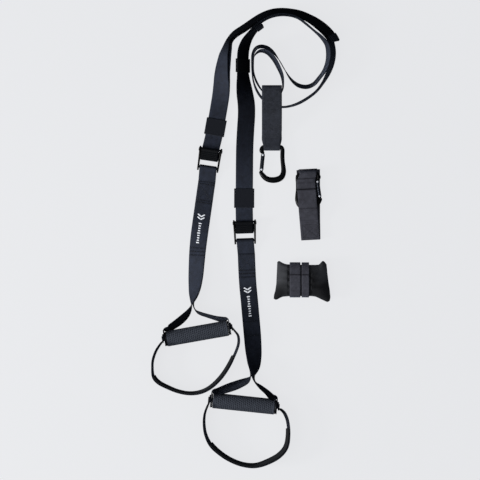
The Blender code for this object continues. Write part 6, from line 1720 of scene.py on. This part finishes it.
def build_pillow():
    """Door pillow: a filled cloth bag with creases from its bands, drawn-out corners and a sewn rim.

    On the upper face the skin stands proud of the CAD form by (puff + broad b) (1 - hold), with b a sum of
    slow sine waves and hold 1 at the bands. Creases of height c exp(-d / reach) sin(y / wave + phase) leave
    each band's edge, with d the distance from it. Painted shade darkens the cloth by the bands, on the right,
    away from the light, towards the foot and along the broad waves.
    """
    nu, nv = PILLOW_GRID
    us, vs = np.linspace(-1, 1, nu + 1), np.linspace(-1, 1, nv + 1)
    middle = world(PILLOW_MIDDLE)
    faces_points, shades = [], []
    for face in (1, -1):
        v, u = np.meshgrid(vs, us)
        skin = pillow_points(u, v, face)
        x, y = skin[..., 0], skin[..., 1]
        inner = np.clip(1 - np.abs(u) ** 6, 0, 1) * np.clip(1 - np.abs(v) ** 6, 0, 1)
        lift = np.zeros_like(x)
        hold = np.zeros_like(x)
        for centre, width, phase in ((BAND_A_X, BAND_A_WIDTH, 0.6), (BAND_B_X, BAND_B_WIDTH, 2.1)):
            gap = np.abs(x - world((centre, 0))[0]) - width / 2
            away = np.clip(gap, 0, None)
            hold = np.maximum(hold, np.clip(1 - away / BAND_HOLD_REACH, 0, 1))
            fan = y - middle[1]
            crease = np.sin(fan / CREASE_WAVE * (1 - away * 5) + phase + 2.2 * np.sin(fan / CREASE_DRIFT))
            lift += CREASE_HEIGHT * np.exp(-away / CREASE_REACH) * crease * np.clip(away / 0.004, 0, 1)
        if face > 0:
            broad = np.sin(x / 0.017 + 1.3) * np.sin(y / 0.013 + 0.4) + 0.6 * np.sin(x / 0.008 - y / 0.011)
            lift += (PILLOW_PUFF + PILLOW_BROAD * broad) * (1 - hold)
            skin[..., 2] += lift * inner * (1 - hold)
        rim = np.maximum(np.abs(u), np.abs(v))
        pucker = np.clip((rim - 0.9) / 0.1, 0, 1) * PUCKER_HEIGHT * np.sin((x - y) / PUCKER_WAVE)
        skin[..., 2] += pucker * np.clip(1 - (rim - 0.97) / 0.03, 0, 1)
        faces_points.append(skin)
        # painted shade: by the bands, on the right, away from the light, towards the foot and along the broad
        # waves
        near = np.exp(-np.clip(np.abs(x - world((300.0, 0))[0]) - BANDS_HALF, 0, None) / BANDS_SHADE_REACH)
        right = np.clip((u - 0.15) / 0.25, 0, 1)
        deep = 0.75 * np.clip((middle[1] - y) / FOOT_SHADE_REACH, 0, 1) + 0.3 * broad
        shades.append(np.clip(0.62 * near + 0.42 * right + deep, 0, 0.85))
    top, low = faces_points
    low[0], low[-1], low[:, 0], low[:, -1] = top[0], top[-1], top[:, 0], top[:, -1]
    points = np.concatenate([top.reshape(-1, 3), low.reshape(-1, 3)])
    wide = nv + 1
    index = np.arange((nu + 1) * wide).reshape(nu + 1, wide)
    under = index + (nu + 1) * wide
    under[0], under[-1], under[:, 0], under[:, -1] = index[0], index[-1], index[:, 0], index[:, -1]
    faces = []
    for grid, flip in ((index, False), (under, True)):
        quads = np.stack([grid[:-1, :-1], grid[1:, :-1], grid[1:, 1:], grid[:-1, 1:]], axis=-1).reshape(-1, 4)
        faces += (quads[:, ::-1] if flip else quads).tolist()
    used = np.unique(np.array(faces))
    remap = np.full(len(points), -1)
    remap[used] = np.arange(len(used))
    faces = remap[np.array(faces)].tolist()
    item = make("door_pillow_cloth", points[used], faces, FINISH["pillow_cloth"],
                shade=np.concatenate([shade.ravel() for shade in shades])[used])
    place_piece(item, "door_anchor", "pillow_cloth", "door_anchor_pillow")

    vs = np.linspace(-1, 1, 81)
    for name, node, x_px, width in (("door_band_broad", "door_anchor_band_wide", BAND_A_X, BAND_A_WIDTH),
                                    ("door_band_slim", "door_anchor_band_narrow", BAND_B_X, BAND_B_WIDTH)):
        x = world((x_px, 0))[0]
        inner_u = max(0.0, abs(x - middle[0]) - width / 2) / (PILLOW_LENGTH / 2)
        turns = [(v, 1) for v in vs] + [(v, -1) for v in vs[-2:0:-1]]
        mid_u = (x - middle[0]) / (PILLOW_LENGTH / 2)
        section = []
        for v, face in turns:
            over = pillow_points(np.float64(mid_u), np.float64(v), face)[1] + BAND_SLACK * max(0.0, v) ** 6
            section.append((over, pillow_points(np.float64(inner_u), np.float64(v), face)[2]))
        section = np.array(section)
        travel = units(np.roll(section, -1, axis=0) - np.roll(section, 1, axis=0))
        outward = np.stack([-travel[:, 1], travel[:, 0]], axis=1)
        route = section + outward * (BAND_THICK + SEAT_GAP)
        route[:, 1] = np.maximum(route[:, 1], BAND_THICK / 2 + SHIFT[2])
        ring = np.column_stack([np.full(len(route), x), route])
        heading = headings(ring, closed=True)
        across = np.broadcast_to(np.array([1.0, 0.0, 0.0]), heading.shape)
        strip = Strip(ring, across, np.cross(heading, across), width)
        # painted shade in the line across the band's upper run
        gap = (strip.points[:, 1] - world((0, BAND_SEAM_PLACE))[1]) / BAND_SEAM_REACH
        seam = np.where(lying(strip, PILLOW_HEIGHT / 2), BAND_SEAM_SHADE * np.exp(-gap * gap), 0.0)
        band = ribbon(name, strip, BAND_THICK, FINISH["extension"], closed=True, shade=seam)
        place_piece(band, "door_anchor", "extension", node)


def build():
    """All pieces, straps first."""
    buckles = {side: Buckle(side) for side in BUCKLES}
    grips = {side: Grip(side) for side in GRIPS}
    dense = build_main_strap(buckles)
    for side, last, stands in (("left", LEFT_TAIL_LAST, LEFT_TAIL_STAND),
                               ("right", RIGHT_TAIL_LAST, RIGHT_TAIL_STAND)):
        build_tail(side, buckles[side], dense, last, stands)
    tables = {"left": (LEFT_DOUBLE, LEFT_LEGS, LEFT_CRADLE, CRADLE_HAIRPIN_SHARES, LEFT_PAD_SHARES),
              "right": (RIGHT_DOUBLE, RIGHT_LEGS, RIGHT_CRADLE, CRADLE_END_SHARES, RIGHT_PAD_SHARES)}
    for side, buckle in buckles.items():
        doubled, legs, route, right_ends, pad_shares = tables[side]
        above, below, fine = build_handle_strap(side, buckle, grips[side], doubled, legs)
        body = side + "_handle"
        details = handle_details(side, fine, LAYER_PITCH / 2 + WEB_THICK / 2)
        seams = HANDLE_SEAMS[side]
        web(side + "_handle_upper_strap", above.back(), body, side + "_handle_webbing",
            HANDLE_SHADES[side]["upper"], lines=seams["lines"] + seams["box"])
        web(side + "_handle_lower_strap", below, body, side + "_handle_webbing", HANDLE_SHADES[side]["lower"])
        build_frame(side, buckle)
        build_caps(side, grips[side])
        build_foam(side, grips[side])
        build_cradle(side, grips[side], route, right_ends, pad_shares)
    eye_bar = build_anchor_tab()
    build_carabiner("anchor", eye_bar - np.array([0, BINER_TOP, 0]), False, 0.0, "anchor_carabiner")
    for name, node, place, length, body, shade in KEEPERS:
        build_keeper(name + "_sleeve", dense, place, length, body, node, shade)
    build_extension()
    build_pillow()


def soften(mesh):
    """Smooth shading over a mesh, with its sharp corners kept crisp."""
    mesh.polygons.foreach_set("use_smooth", [True] * len(mesh.polygons))
    mesh.set_sharp_from_angle(angle=math.radians(CRISP_ANGLE))


def finish_cad():
    """Gives every CAD node that still shows its finish."""
    slots = {row["node"]: row["material_slot"] for row in frame["record"]["subparts"]}
    for name, item in frame["nodes"].items():
        finish = "cap_plastic" if name.endswith("_grip_core") else slots[name]
        item.data.materials.clear()
        item.data.materials.append(FINISH[finish])
        soften(item.data)


def build_studio():
    """Pale floor, two square lamps from the left, even room light, and the camera straight above."""
    half = FLOOR_HALF
    floor = make("floor", [(-half, -half, 0), (half, -half, 0), (half, half, 0), (-half, half, 0)],
                 [(0, 1, 2, 3)], floor_finish(), smooth=False)
    room = bpy.data.worlds.new("room")
    room.use_nodes = True
    room.node_tree.nodes["Background"].inputs[0].default_value = linear("#eaf0fb")
    shine = add(room.node_tree, "LightPath").outputs["Is Glossy Ray"]
    level = calc(room.node_tree, "MULTIPLY_ADD", shine, -ROOM_LIGHT * ROOM_SHINE_LOSS, ROOM_LIGHT)
    room.node_tree.links.new(level, room.node_tree.nodes["Background"].inputs[1])
    bpy.context.scene.world = room
    for name, place, spread, power in LAMPS:
        data = bpy.data.lights.new(name, "AREA")
        data.shape = "SQUARE"
        data.size = spread
        data.energy = power
        lamp = bpy.data.objects.new(name, data)
        lamp.location = place
        toward = -unit(place)
        lamp.rotation_euler = (math.acos(-toward[2]), 0, math.atan2(toward[1], toward[0]) - math.pi / 2)
        bpy.context.scene.collection.objects.link(lamp)
    look = bpy.data.cameras.new("camera")
    look.sensor_width = SENSOR_WIDTH
    look.lens = SENSOR_WIDTH * CAMERA_HEIGHT / (PX * PHOTO_SIDE)
    look.clip_end = 50.0
    camera = bpy.data.objects.new("camera", look)
    at = world((PHOTO_SIDE / 2, PHOTO_SIDE / 2))
    camera.location = (at[0], at[1], CAMERA_HEIGHT)
    bpy.context.scene.collection.objects.link(camera)
    bpy.context.scene.camera = camera
    bpy.context.scene.view_settings.view_transform = "Standard"


def floor_finish():
    """Pale seamless paper: mostly its own even tone, with faint soft shadows."""
    made = bpy.data.materials.new("pale_paper")
    made.use_nodes = True
    tree = made.node_tree
    tree.nodes.clear()
    grain = noise(tree, 30.0, 2.0)
    tone = blend_colours(tree, grain, "#e8e9eb", "#e8e9ec")
    glow = add(tree, "Emission", {0: tone, 1: 1.0})
    lit = add(tree, "BsdfDiffuse", {0: linear("#e6e7e9")})
    dull = add(tree, "BsdfDiffuse", {0: linear("#5c5e62")})
    shown = add(tree, "MixShader", {0: FLOOR_LIT_SHARE, 1: glow.outputs[0], 2: lit.outputs[0]})
    seen = add(tree, "LightPath").outputs["Is Camera Ray"]
    both = add(tree, "MixShader", {0: seen, 1: dull.outputs[0], 2: shown.outputs[0]})
    out = tree.nodes.new("ShaderNodeOutputMaterial")
    tree.links.new(both.outputs[0], out.inputs[0])
    return made


build_studio()
build()
finish_cad()
bpy.context.view_layer.update()
